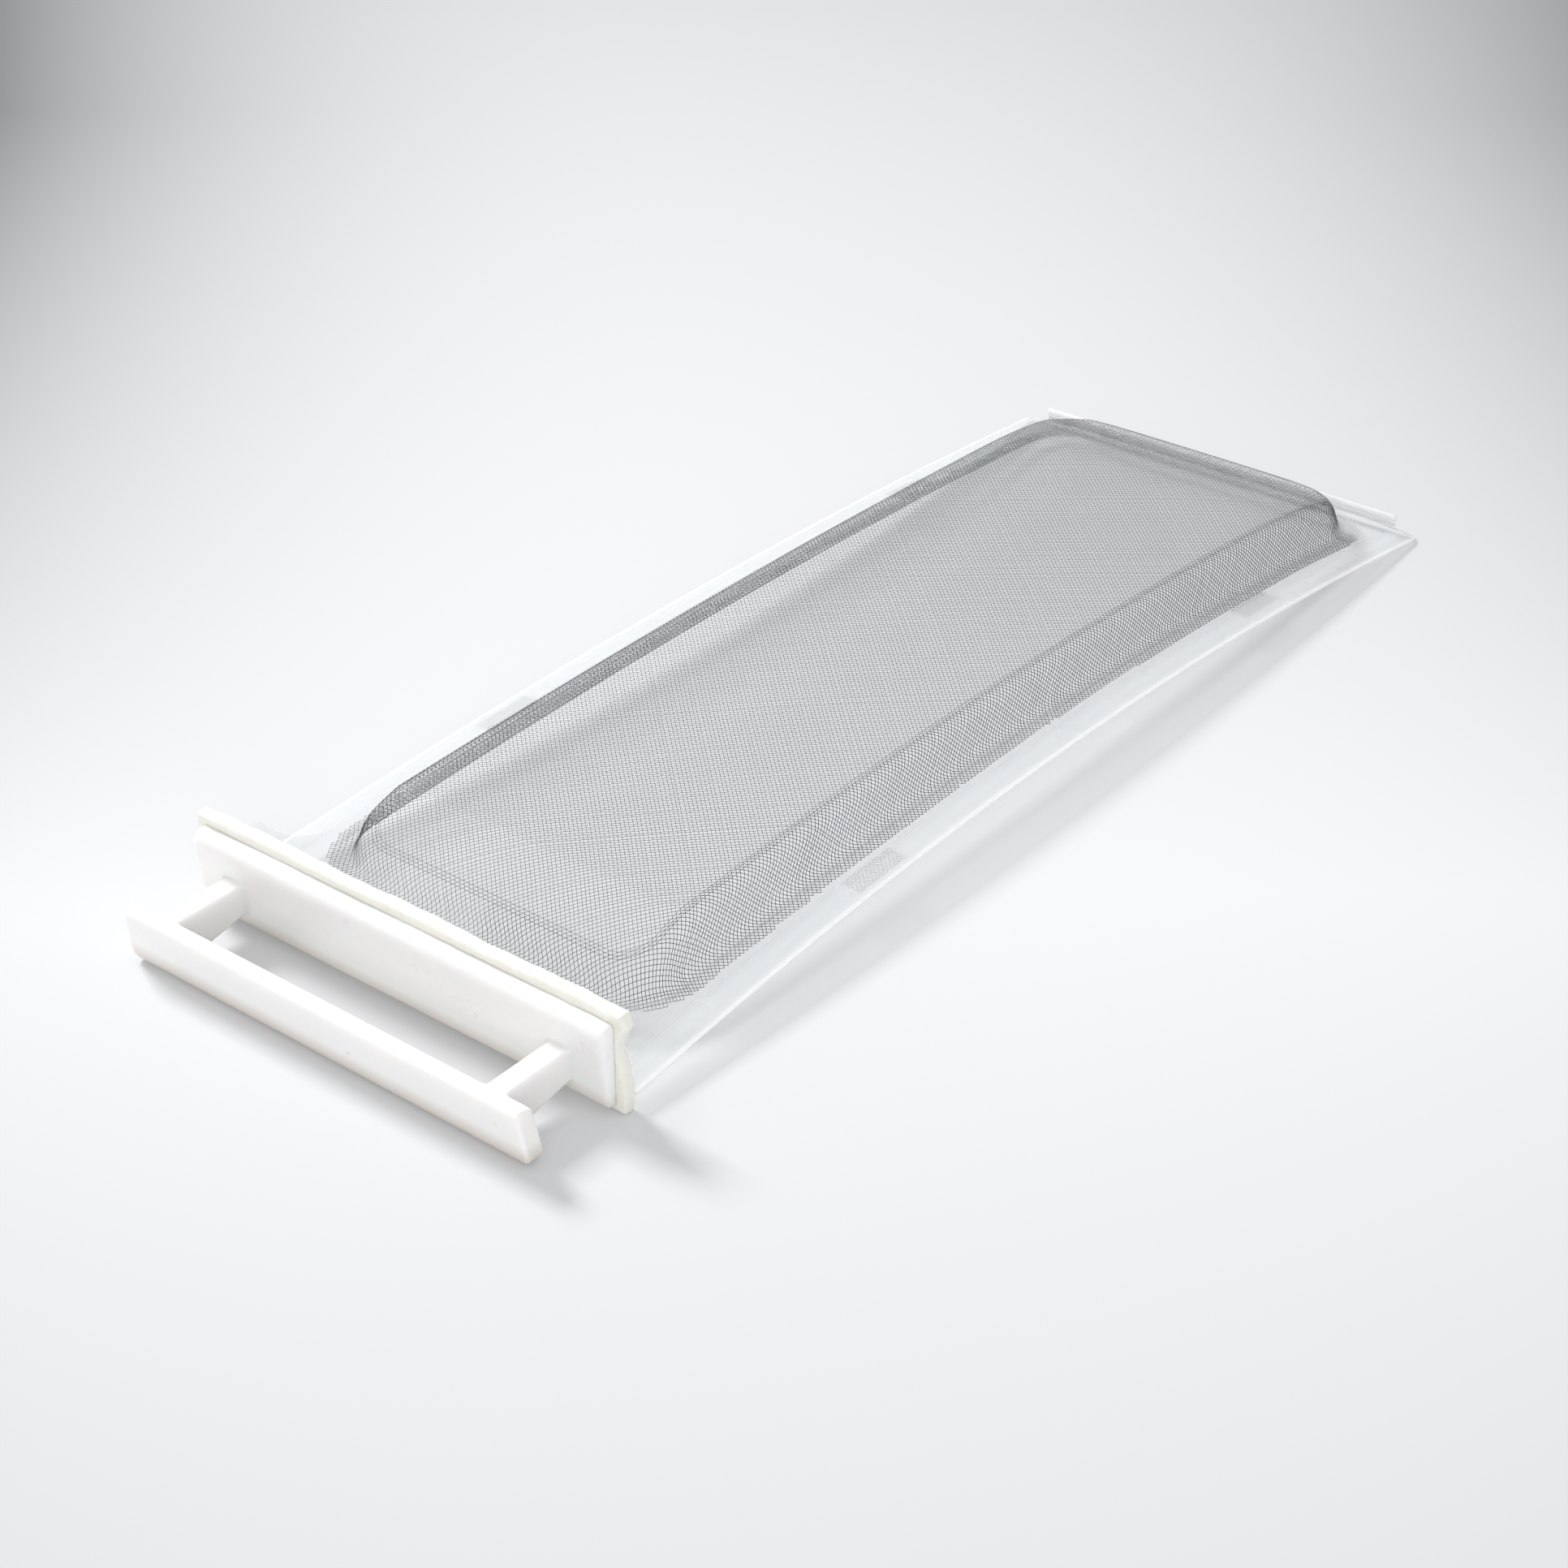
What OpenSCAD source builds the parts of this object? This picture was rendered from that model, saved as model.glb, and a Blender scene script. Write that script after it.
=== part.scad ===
// Tumble dryer lint filter: a pressed wire-cloth pan in a thin bowed plastic frame,
// with a felt seal and a pull handle at one end.
// X is the width, Y runs from the handle to the far end, Z is up.
// Places along Y are first counted from the frame's front wall, where the seal bears,
// and the whole part is then moved to put the origin under the middle of its box.

/* [Frame] */
// Length of the frame from the seal to its far edge
frame_len = 438.6; // [400:0.2:470]
// Width of the frame at the seal
frame_w_near = 166; // [150:0.5:176]
// Width of the frame at its far edge
frame_w_far = 174; // [160:0.5:184]
// How far each long edge draws in at mid length
frame_waist = 3.9; // [0:0.1:6]
// Rise of the bow over the frame's length
bow_rise = 10.7; // [4:0.1:18]
// Height of the frame's lower face above the floor at the seal
near_lift = 3.7; // [2:0.1:8]
// Thickness of the thin outer rim
rim_t = 1.0; // [0.8:0.1:1.2]
// Width of the thin outer rim
rim_w = 3.2; // [2:0.1:5]
// Thickness of the flange inside the rim
flange_t = 1.6; // [1.3:0.1:2]
// Thickness of the lip that is moulded over the edge of the wire cloth
lip_t = 2.4; // [2.2:0.1:3]
// Width of that lip
lip_w = 6.5; // [5:0.1:8]
// How much lower the outer edge lies than the lip
flange_fall = 1.5; // [0:0.1:3]

/* [Window] */
// Distance from the frame's long edges to its window
window_inset = 16; // [13:0.1:20]
// Distance from the seal to the window
window_near = 22; // [18:0.5:30]
// Width of the rail between the window and the far edge
window_far = 6.2; // [5:0.1:12]
// Corner radius of the window
window_r = 18; // [12:0.5:22]

/* [Front wall] */
// Height of the wall that the seal bears on
wall_h = 28.5; // [22:0.5:30]
// Thickness of that wall
wall_t = 2.4; // [1.6:0.1:3]
// Length of the side fins that brace the wall
fin_len = 44; // [35:1:60]
// Radius of the hollow top edge of a fin
fin_r = 44; // [36:1:70]
// Thickness of a fin
fin_t = 1.6; // [1.2:0.1:2.4]
// Distance from the middle to a fin
fin_x = 70.5; // [60:0.5:76]

/* [Far stop] */
// Height of the upstanding rib at the far edge
rib_h = 4.2; // [2:0.1:8]
// Thickness of that rib
rib_t = 1.8; // [1:0.1:3]
// Distance from each long edge to the end of the rib
rib_inset = 9.5; // [4:0.5:20]

/* [Wire cloth pan] */
// Height of the pan over its foot at mid length
pan_rise = 12.4; // [8:0.1:15]
// What is added to that height towards the two ends
pan_rise_ends = 1.6; // [0:0.1:3]
// What is lost again at the far end
pan_drop = 2.6; // [0:0.1:4]
// Length over which it is lost
pan_drop_len = 60; // [30:1:90]
// Length of the ramp behind the seal
ramp_len = 30; // [15:1:60]
// Share of the pan's height at the foot of the ramp
ramp_share = 0.12; // [0:0.01:0.5]
// Steepness of the pan's wall in degrees
wall_angle = 74; // [55:1:78]
// Inner radius of the bend at the wall's foot
foot_bend = 3; // [2:0.1:5]
// Inner radius of the bend at the wall's top
top_bend = 4.3; // [2:0.1:6]
// Crown of the pan's top from side to side
pan_crown = 0.6; // [0:0.1:2]
// Width of flat cloth between the window's edge and the pan's foot
foot_step = 1.4; // [0.5:0.1:3]
// Corner radius of the pan's foot
pan_r = 21; // [16:0.5:30]
// Thickness of the cloth, two wires
cloth_t = 0.6; // [0.4:0.05:0.8]
// Width of cloth held in the lip
cloth_grip = 3.5; // [2:0.1:4]
// Depth of the relief between the crossings of the strands
weave_depth = 0.3; // [0:0.05:0.8]
// Size of a gap between the strands, as a share of its cell
open_share = 0.74; // [0.3:0.01:0.8]

/* [Handle] */
// Width of the finger bar
bar_w = 155.5; // [120:0.5:164]
// Height of the finger bar
bar_h = 19.9; // [14:0.1:24]
// Thickness of the finger bar
bar_t = 6.7; // [5:0.1:9]
// How far the top of the bar leans towards the hand
bar_lean = 3.1; // [0:0.1:5]
// How much the bar's top falls towards the back
bar_top_fall = 1.5; // [0:0.1:3]
// Space for the fingers between the bar and the back plate
finger_gap = 23.7; // [20:0.1:32]
// Width of the back plate
plate_w = 160; // [140:0.5:164]
// Height of the back plate
plate_h = 29; // [24:0.5:32]
// Gap between the back plate and the floor
plate_lift = 2.4; // [1:0.1:4]
// Depth of the back plate at its top
plate_d_top = 6.1; // [5:0.1:8]
// Depth of the back plate at its bottom
plate_d_low = 2.8; // [2:0.1:4]
// Swell of the back plate's front face
plate_swell = 0.9; // [0:0.1:2]
// Width of a post
post_w = 7.6; // [6:0.1:10]
// Distance from the middle to the centre of a post
post_x = 64.2; // [50:0.1:70]
// Height of a post where it meets the plate
post_h_plate = 10.2; // [8:0.1:13]
// Height of a post where it meets the bar
post_h_bar = 15.4; // [10:0.1:17]

/* [Seal] */
// Thickness of the felt
felt_t = 4.5; // [3:0.1:6]
// Width of the felt
felt_w = 166.8; // [150:0.1:174]
// Height of the felt's top above the floor
felt_top = 33; // [30:0.1:36]

/* [Screws] */
// Number of screws that clamp the seal
screw_count = 3; // [2:1:4]
// Radius of a screw's shank
screw_r = 1.75; // [1.4:0.05:2]
// Radius of a screw's head
screw_head_r = 3.4; // [2.8:0.1:4]
// Height of a screw's head
screw_head_h = 2.1; // [1.6:0.1:2.6]
// How deep a screw goes into the plate
screw_bite = 3.6; // [2.5:0.1:4]
// Height of the screws above the floor
screw_z = 16.5; // [14:0.5:20]
// Share of the plate's width over which the screws are spread
screw_spread_share = 0.68; // [0.5:0.01:0.8]

/* [Hidden] */

// Overrun of a cut past a face
over = 1;
// Clearance on each face of the cloth in its slot
slot_gap = 0.05;
// Clearance round a screw in the wall and the felt
screw_gap = 0.15;
// Straight pieces in each long edge, in each round corner of the plan, and in a small corner
edge_steps = 24;
plan_steps = 18;
corner_steps = 8;

// The bow is an arc through the two ends of the frame's lower face.
half_w_near = frame_w_near / 2;
half_w_far = frame_w_far / 2;
bow_chord = norm([frame_len, near_lift]);
bow_r = bow_chord * bow_chord / (8 * bow_rise) + bow_rise / 2;
bow_tilt = atan2(near_lift, frame_len);
bow_y = frame_len / 2 - (bow_r - bow_rise) * sin(bow_tilt);
bow_z = near_lift / 2 - (bow_r - bow_rise) * cos(bow_tilt);
bow_sweep = 2 * asin(bow_chord / 2 / bow_r) + 1;

// Inside this half width the frame is level from side to side.
level_w = (half_w_near + half_w_far) / 2 - frame_waist - window_inset - foot_step;

function ratio(y) = y / frame_len;

// Half width of the frame at y.
function half_w(y) = half_w_near + (half_w_far - half_w_near) * ratio(y)
    - 4 * frame_waist * ratio(y) * (1 - ratio(y));

// Height of the frame's lower face at x and y.
function fall(x) = flange_fall * (1 - max(0, abs(x) - level_w) / (half_w_far - level_w));
function under(x, y) = bow_z + sqrt((bow_r + fall(x)) * (bow_r + fall(x)) - (y - bow_y) * (y - bow_y));

// Points of a quarter turn about a centre.
function quarter(cx, cy, r, from) =
    [for (i = [0:plan_steps]) [cx + r * cos(from + 90 * i / plan_steps),
                               cy + r * sin(from + 90 * i / plan_steps)]];

// Outline that follows the frame's long edges at a set distance inside them.
function inset_outline(inset, y_near, y_far, r_near, r_far) =
    let (
        side = [for (i = [0:edge_steps]) y_near + r_near + (y_far - r_far - y_near - r_near) * i / edge_steps],
        x_far = half_w(y_far - r_far) - inset - r_far,
        x_near = half_w(y_near + r_near) - inset - r_near
    )
    concat(
        [for (y = side) [half_w(y) - inset, y]],
        quarter(x_far, y_far - r_far, r_far, 0),
        quarter(-x_far, y_far - r_far, r_far, 90),
        [for (i = [edge_steps:-1:0]) [inset - half_w(side[i]), side[i]]],
        quarter(-x_near, y_near + r_near, r_near, 180),
        quarter(x_near, y_near + r_near, r_near, 270)
    );

// Points of a shallow arc from a to b that swells to the left of its direction.
function swell_arc(a, b, swell, steps) =
    let (
        chord = norm(b - a),
        along = (b - a) / chord,
        left = [-along[1], along[0]]
    )
    [for (i = [0:steps])
        let (t = i / steps)
        a + (b - a) * t + left * swell * 4 * t * (1 - t)];

// Corner of an outline rounded to radius r: the points of its arc.
function round_corner(before, at, after, r) =
    let (
        u = (before - at) / norm(before - at),
        v = (after - at) / norm(after - at),
        half = acos(u * v) / 2,
        centre = at + (u + v) / norm(u + v) * r / sin(half),
        start = at + u * r / tan(half) - centre,
        finish = at + v * r / tan(half) - centre,
        a0 = atan2(start[1], start[0]),
        turn = atan2(finish[1], finish[0]) - a0,
        short_turn = turn > 180 ? turn - 360 : turn < -180 ? turn + 360 : turn
    )
    [for (i = [0:corner_steps])
        centre + r * [cos(a0 + short_turn * i / corner_steps), sin(a0 + short_turn * i / corner_steps)]];

function rounded(points, radii) =
    let (n = len(points))
    [for (i = [0:n - 1])
        each round_corner(points[(i + n - 1) % n], points[i], points[(i + 1) % n], radii[i])];

// Draws an outline of y and z points and gives it a width along X, centred.
module across(points, width) {
    rotate([90, 0, 90])
        linear_extrude(height = width, center = true)
            polygon(points);
}

// Draws an outline of x and y points from below the floor to above the part.
module upright(points) {
    translate([0, 0, -over])
        linear_extrude(height = felt_top + 2 * over)
            polygon(points);
}

// A bowed slab between two heights over the frame's lower face.
module bowed(low, high) {
    reach = half_w_far + over;
    drop = fall(reach);
    translate([0, bow_y, bow_z])
        rotate([0, -90, 0])
            rotate([0, 0, bow_tilt - bow_sweep / 2])
                rotate_extrude(angle = bow_sweep, $fn = 360)
                    polygon([
                        [bow_r + low + drop, -reach],
                        [bow_r + low + flange_fall, -level_w],
                        [bow_r + low + flange_fall, level_w],
                        [bow_r + low + drop, reach],
                        [bow_r + high + drop, reach],
                        [bow_r + high + flange_fall, level_w],
                        [bow_r + high + flange_fall, -level_w],
                        [bow_r + high + drop, -reach]
                    ]);
}

// Everything is modelled from the seal and moved here to stand over the origin.
bar_back = -felt_t - plate_d_top - finger_gap;
bar_front = bar_back - bar_t;
mid_y = (frame_len + bar_front) / 2;

module placed() {
    translate([0, -mid_y, 0])
        children();
}

cloth_inset = window_inset - cloth_grip;
cloth_near = window_near - cloth_grip;
cloth_far = frame_len - window_far + cloth_grip;
cloth_r = pan_r + foot_step + cloth_grip;
slot_low = (lip_t - cloth_t) / 2;

rail_r = 4;
near_r = 1.5;

module frame_plan(inset) {
    upright(inset_outline(inset, 0, frame_len - inset * rim_share, near_r, rail_r));
}

// The rim and the steps are narrower along the far edge than along the sides.
rim_share = 0.3;

module window_cut() {
    upright(inset_outline(window_inset, window_near, frame_len - window_far, window_r, window_r));
}

module cloth_slot() {
    intersection() {
        bowed(slot_low - slot_gap, slot_low + cloth_t + slot_gap);
        upright(inset_outline(cloth_inset - slot_gap, cloth_near - slot_gap, cloth_far + slot_gap,
                              cloth_r + slot_gap, cloth_r + slot_gap));
    }
}

function screw_x(i) = plate_w * screw_spread_share * (i / (screw_count - 1) - 0.5);

module at_screws() {
    for (i = [0:screw_count - 1])
        translate([screw_x(i), 0, screw_z])
            rotate([90, 0, 0])
                children();
}

// The front wall stands on the frame's near edge and runs down to its lower face.
module front_wall() {
    low = under(half_w_near, 0);
    difference() {
        translate([-half_w_near + wall_edge, 0, low])
            cube([frame_w_near - 2 * wall_edge, wall_t, wall_h - low]);
        at_screws()
            translate([0, 0, -wall_t - over])
                cylinder(h = wall_t + 2 * over, r = screw_r + screw_gap, $fn = 48);
    }
}

wall_edge = 6;

// A fin has a hollow top edge that runs out into the flange.
module fin(x) {
    foot = under(x, fin_len) + flange_t;
    difference() {
        translate([x - fin_t / 2, 0, under(x, 0)])
            cube([fin_t, fin_len, wall_h - under(x, 0)]);
        translate([x, fin_len, foot + fin_r])
            rotate([0, 90, 0])
                cylinder(h = fin_t + 2 * over, r = fin_r, center = true, $fn = 360);
        intersection() {
            bowed(-wall_h, 0);
            translate([x - fin_t, -over, -over])
                cube([2 * fin_t, fin_len + 2 * over, wall_h]);
        }
    }
}

module far_rib() {
    half = half_w_far - rib_inset;
    intersection() {
        bowed(flange_t / 2, flange_t + rib_h);
        translate([-half, frame_len - rib_t - rib_edge, 0])
            cube([2 * half, rib_t, wall_h]);
    }
}

rib_edge = 0.5;

module frame() {
    color("whitesmoke", 0.55)
        placed()
            difference() {
                union() {
                    intersection() {
                        bowed(0, rim_t);
                        frame_plan(0);
                    }
                    intersection() {
                        bowed(0, flange_t);
                        frame_plan(rim_w);
                    }
                    intersection() {
                        bowed(0, lip_t);
                        frame_plan(window_inset - lip_w);
                    }
                    front_wall();
                    fin(fin_x);
                    fin(-fin_x);
                    far_rib();
                }
                window_cut();
                cloth_slot();
            }
}

// The pan's wall in section: a bend at the foot, a steep flank and a bend at the top.
foot_w = foot_bend * sin(wall_angle);
foot_h = foot_bend * (1 - cos(wall_angle));
top_w = top_bend * sin(wall_angle);
top_h = top_bend * (1 - cos(wall_angle));
flank_w = (pan_rise - foot_h - top_h) / tan(wall_angle);
slope_w = foot_w + flank_w + top_w;

// Height of the wall at a distance inside the foot, as a share of the pan's height.
function wall_share(d) =
    (d <= 0 ? 0
     : d < foot_w ? foot_bend - sqrt(foot_bend * foot_bend - d * d)
     : d < foot_w + flank_w ? foot_h + (d - foot_w) * tan(wall_angle)
     : d < slope_w ? pan_rise - top_bend + sqrt(top_bend * top_bend - (slope_w - d) * (slope_w - d))
     : pan_rise) / pan_rise;

foot_inset = window_inset + foot_step;
foot_near = window_near + foot_step;
foot_far = frame_len - window_far - foot_step;
foot_mid = (foot_near + foot_far) / 2;
foot_half = (foot_far - foot_near) / 2;

// Distance inside the pan's foot, negative outside it.
function foot_depth(x, y) =
    let (
        qx = abs(x) - (half_w(y) - foot_inset - pan_r),
        qy = abs(y - foot_mid) - (foot_half - pan_r)
    )
    pan_r - norm([max(qx, 0), max(qy, 0)]) - min(max(qx, qy), 0);

function smooth(t) = t <= 0 ? 0 : t >= 1 ? 1 : t * t * (3 - 2 * t);

// Full height of the pan at y: a ramp behind the seal, then nearly level, lower at the far end.
function pan_top(y) =
    let (
        end = (y - foot_mid) / foot_half,
        ramp = min(1, ramp_share + (1 - ramp_share) * max(0, y - foot_near) / ramp_len)
    )
    (pan_rise + pan_rise_ends * end * end - pan_drop * smooth((y - foot_far + pan_drop_len) / pan_drop_len))
    * (1 - (1 - ramp) * (1 - ramp) / (2 - 2 * ramp_share) - (1 - ramp) / 2);

function pan_height(x, y) =
    let (across_share = x / (half_w(y) - foot_inset))
    wall_share(foot_depth(x, y))
    * (pan_top(y) + pan_crown * (1 - across_share * across_share));

function cloth_z(x, y) = under(x, y) + slot_low + pan_height(x, y);

// Unit vector square to the cloth.
function cloth_normal(x, y) =
    let (
        e = cloth_t / 4,
        n = [cloth_z(x - e, y) - cloth_z(x + e, y), cloth_z(x, y - e) - cloth_z(x, y + e), 2 * e]
    )
    n / norm(n);

// Point of the rounded outline at a distance inside the foot. The long side runs from t = 0
// to 1 between the middles of its corner arcs, and so does the short side.
function long_point(d, t, side_x) =
    let (
        r = pan_r - d,
        y0 = foot_near + pan_r,
        y1 = foot_far - pan_r,
        arc = r * PI / 4,
        run = y1 - y0,
        s = t * (run + 2 * arc),
        near_turn = max(0, arc - s) / max(r, over / 100) * 180 / PI,
        far_turn = max(0, s - arc - run) / max(r, over / 100) * 180 / PI,
        y = near_turn > 0 ? y0 - r * sin(near_turn) : far_turn > 0 ? y1 + r * sin(far_turn) : y0 + s - arc,
        bend = cos(near_turn + far_turn)
    )
    [side_x * (half_w(y) - foot_inset - pan_r + r * bend), y];

function short_point(d, t, far) =
    let (
        r = pan_r - d,
        yc = far ? foot_far - pan_r : foot_near + pan_r,
        corner = long_point(d, far ? 1 : 0, 1),
        xc = corner[0] - r * cos(45),
        arc = r * PI / 4,
        run = 2 * xc,
        s = t * (run + 2 * arc),
        first = max(0, arc - s) / max(r, over / 100) * 180 / PI,
        last = max(0, s - arc - run) / max(r, over / 100) * 180 / PI,
        x = first > 0 ? -xc - r * sin(first) : last > 0 ? xc + r * sin(last) : -xc + s - arc
    )
    [x, yc + (far ? 1 : -1) * r * cos(first + last)];

// Rings from the cloth's border, over the foot and up the wall to the edge of the top.
ring_depths = [
    -foot_step - cloth_grip,
    -foot_step,
    0,
    foot_w * 0.55,
    foot_w,
    foot_w + flank_w,
    foot_w + flank_w + top_w * 0.45,
    slope_w
];
last_ring = len(ring_depths) - 1;
cols = 10;
rows = 26;
turn_count = 2 * (cols + rows);

// Places of the columns and rows along a side, closer together in its corners.
corner_cells = 2;
col_corner_share = 0.136;
row_corner_share = 0.044;
function spread(q, count, corner_share) =
    q < corner_cells ? corner_share * q / corner_cells
    : q > count - corner_cells ? 1 - corner_share * (count - q) / corner_cells
    : corner_share + (1 - 2 * corner_share) * (q - corner_cells) / (count - 2 * corner_cells);

function col_place(i) =
    let (low = floor(i), part = i - low)
    (1 - part) * spread(low, cols, col_corner_share) + part * spread(low + 1, cols, col_corner_share);
function row_place(j) =
    let (low = floor(j), part = j - low)
    (1 - part) * spread(low, rows, row_corner_share) + part * spread(low + 1, rows, row_corner_share);

function ring_point(k, m) =
    let (d = ring_depths[k], q = m % turn_count)
    q < cols ? short_point(d, col_place(q), false)
    : q < cols + rows ? long_point(d, row_place(q - cols), 1)
    : q < 2 * cols + rows ? short_point(d, col_place(2 * cols + rows - q), true)
    : long_point(d, row_place(turn_count - q), -1);

// The top is a grid stretched between the four sides of the last ring.
function top_point(i, j) =
    let (
        u = col_place(i),
        v = row_place(j),
        d = ring_depths[last_ring],
        a = short_point(d, u, false),
        b = short_point(d, u, true),
        c = long_point(d, v, -1),
        e = long_point(d, v, 1)
    )
    (1 - v) * a + v * b + (1 - u) * c + u * e
    - (1 - u) * (1 - v) * long_point(d, 0, -1) - u * (1 - v) * long_point(d, 0, 1)
    - (1 - u) * v * long_point(d, 1, -1) - u * v * long_point(d, 1, 1);

// Lifts a place of the plan onto the lower skin; side is 0 below and 1 above.
function on_cloth(p, even, relief, side) =
    let (n = cloth_normal(p[0], p[1]))
    [p[0], p[1], cloth_z(p[0], p[1])]
    + n * (cloth_t * side + relief * weave_depth * (even ? 0.5 : -0.5));

// Nodes are numbered ring by ring and then row by row inside the last ring.
function ring_node(k, m) = k * turn_count + m % turn_count;
inner_start = (last_ring + 1) * turn_count;
function top_node(i, j) =
    j == 0 ? ring_node(last_ring, i)
    : i == cols ? ring_node(last_ring, cols + j)
    : j == rows ? ring_node(last_ring, 2 * cols + rows - i)
    : i == 0 ? ring_node(last_ring, turn_count - j)
    : inner_start + (j - 1) * (cols - 1) + i - 1;

// Gaps of the weave: all the odd nodes of the top, between strands that run on the bias.
open_nodes = [for (j = [1:rows - 1]) each
    [for (i = [1 + j % 2:2:cols - 1]) [i, j]]];

function skin_points(side) = concat(
    [for (k = [0:last_ring]) each
        [for (m = [0:turn_count - 1])
            on_cloth(ring_point(k, m), (k + last_ring + m) % 2 == 0, k < 2 ? 0 : 1, side)]],
    [for (j = [1:rows - 1]) each
        [for (i = [1:cols - 1]) on_cloth(top_point(i, j), i % 2 == 0, 1, side)]],
    [for (o = open_nodes) each
        [for (w = [[1, 0], [0, 1], [-1, 0], [0, -1]])
            on_cloth(top_point(o[0] + w[0] * open_share, o[1] + w[1] * open_share),
                     (o[0] + w[0]) % 2 == 0, open_share, side)]]
);

open_start = inner_start + (cols - 1) * (rows - 1);
open_index = [for (j = [0:rows]) [for (i = [0:cols])
    let (hit = [for (o = [0:len(open_nodes) - 1]) if (open_nodes[o] == [i, j]) o])
    len(hit) > 0 ? open_start + 4 * hit[0] : -1]];

// One half of a cell: an odd corner and the two even ones. A gap cuts its corner off.
function half_cell(odd, even_a, way_a, even_b, way_b) =
    let (
        o = top_node(odd[0], odd[1]),
        a = top_node(even_a[0], even_a[1]),
        b = top_node(even_b[0], even_b[1]),
        hole = open_index[odd[1]][odd[0]]
    )
    hole < 0 ? [[o, a, b]] : [[hole + way_a, a, b], [hole + way_a, b, hole + way_b]];

function cell_faces(i, j) =
    (i + j) % 2 == 0
    ? concat(half_cell([i + 1, j], [i + 1, j + 1], 1, [i, j], 2),
             half_cell([i, j + 1], [i, j], 3, [i + 1, j + 1], 0))
    : concat(half_cell([i, j], [i + 1, j], 0, [i, j + 1], 1),
             half_cell([i + 1, j + 1], [i, j + 1], 2, [i + 1, j], 3));

function ring_faces(k, m) =
    let (
        a = ring_node(k, m),
        b = ring_node(k, m + 1),
        c = ring_node(k + 1, m + 1),
        d = ring_node(k + 1, m)
    )
    (k + last_ring + m) % 2 == 0 ? [[a, b, c], [a, c, d]] : [[a, b, d], [b, c, d]];

// The formed cloth: two skins of small facets, ridged along the bias and pierced,
// closed along the border and round each gap.
module screen() {
    low = skin_points(0);
    high = skin_points(1);
    count = len(low);
    up = concat(
        [for (k = [0:last_ring - 1]) each [for (m = [0:turn_count - 1]) each ring_faces(k, m)]],
        [for (j = [0:rows - 1]) each [for (i = [0:cols - 1]) each cell_faces(i, j)]]
    );
    skin_high = [for (f = up) [f[0] + count, f[2] + count, f[1] + count]];
    border = [for (m = [0:turn_count - 1])
        let (a = ring_node(0, m), b = ring_node(0, m + 1))
        each [[a, a + count, b], [b, a + count, b + count]]];
    rims = [for (o = [0:len(open_nodes) - 1]) each
        [for (w = [0:3])
            let (a = open_start + 4 * o + w, b = open_start + 4 * o + (w + 1) % 4)
            each [[a, b, a + count], [b, b + count, a + count]]]];
    color("slategray")
        placed()
            polyhedron(points = concat(low, high), faces = concat(up, skin_high, border, rims));
}

// Outline of the finger bar, seen from its end.
bar_points = [
    [bar_front, bar_h],
    [bar_back, bar_h - bar_top_fall],
    [bar_back + bar_lean, 0],
    [bar_front + bar_lean, 0]
];
bar_radii = [2, 1.2, 2.6, 3];
bar_end_r = 3;

module bar() {
    intersection() {
        across(rounded(bar_points, bar_radii), bar_w);
        rotate([90, 0, 0])
            translate([0, 0, -bar_back - bar_lean - over])
                linear_extrude(height = bar_t + bar_lean + 2 * over)
                    polygon(rounded([[-bar_w / 2, 0], [bar_w / 2, 0], [bar_w / 2, bar_h], [-bar_w / 2, bar_h]],
                                    [bar_end_r, bar_end_r, bar_end_r / 2, bar_end_r / 2]));
    }
}

plate_back = -felt_t;
plate_top = plate_lift + plate_h;
plate_round = 1.2;
plate_end_r = 2.2;

// The back plate is swollen in front, deep at its top and thin at its bottom.
module plate() {
    front_top = [plate_back - plate_d_top, plate_top];
    front_low = [plate_back - plate_d_low, plate_lift];
    face = swell_arc(front_top, front_low, -plate_swell, edge_steps);
    inner_face = [for (i = [1:edge_steps - 1]) face[i]];
    intersection() {
        across(concat(
            round_corner(inner_face[0], front_top, [plate_back, plate_top], plate_round),
            round_corner(front_top, [plate_back, plate_top], [plate_back, plate_lift], plate_round / 2),
            round_corner([plate_back, plate_top], [plate_back, plate_lift], front_low, plate_round / 2),
            round_corner([plate_back, plate_lift], front_low, inner_face[edge_steps - 2], plate_round),
            [for (i = [edge_steps - 2:-1:1]) face[i]]
        ), plate_w);
        rotate([90, 0, 0])
            linear_extrude(height = -plate_back + plate_d_top + plate_swell + over)
                polygon(rounded(
                    [[-plate_w / 2, plate_lift], [plate_w / 2, plate_lift],
                     [plate_w / 2, plate_top], [-plate_w / 2, plate_top]],
                    [plate_end_r, plate_end_r, plate_end_r, plate_end_r]));
    }
}

post_top = bar_h - bar_top_fall;
post_round = 1.0;

// A post is level on top and tapers from the bar to the plate below.
module post() {
    in_bar = bar_back - bar_t / 4;
    in_plate = plate_back - plate_d_low;
    intersection() {
        across([
            [in_bar, post_top],
            [in_plate, post_top],
            [in_plate, post_top - post_h_plate],
            [bar_back, post_top - post_h_bar],
            [in_bar, post_top - post_h_bar]
        ], post_w);
        rotate([90, 0, 0])
            linear_extrude(height = -in_bar + over)
                polygon(rounded(
                    [[-post_w / 2, 0], [post_w / 2, 0], [post_w / 2, post_top], [-post_w / 2, post_top]],
                    [post_round, post_round, post_round, post_round]));
    }
}

module handle() {
    color("ivory")
        placed()
            difference() {
                union() {
                    bar();
                    plate();
                    translate([post_x, 0, 0])
                        post();
                    translate([-post_x, 0, 0])
                        post();
                }
                at_screws()
                    translate([0, 0, felt_t - over])
                        cylinder(h = screw_bite + over, r = screw_r, $fn = 48);
            }
}

felt_lift = 0.2;
felt_r = 3;

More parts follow.
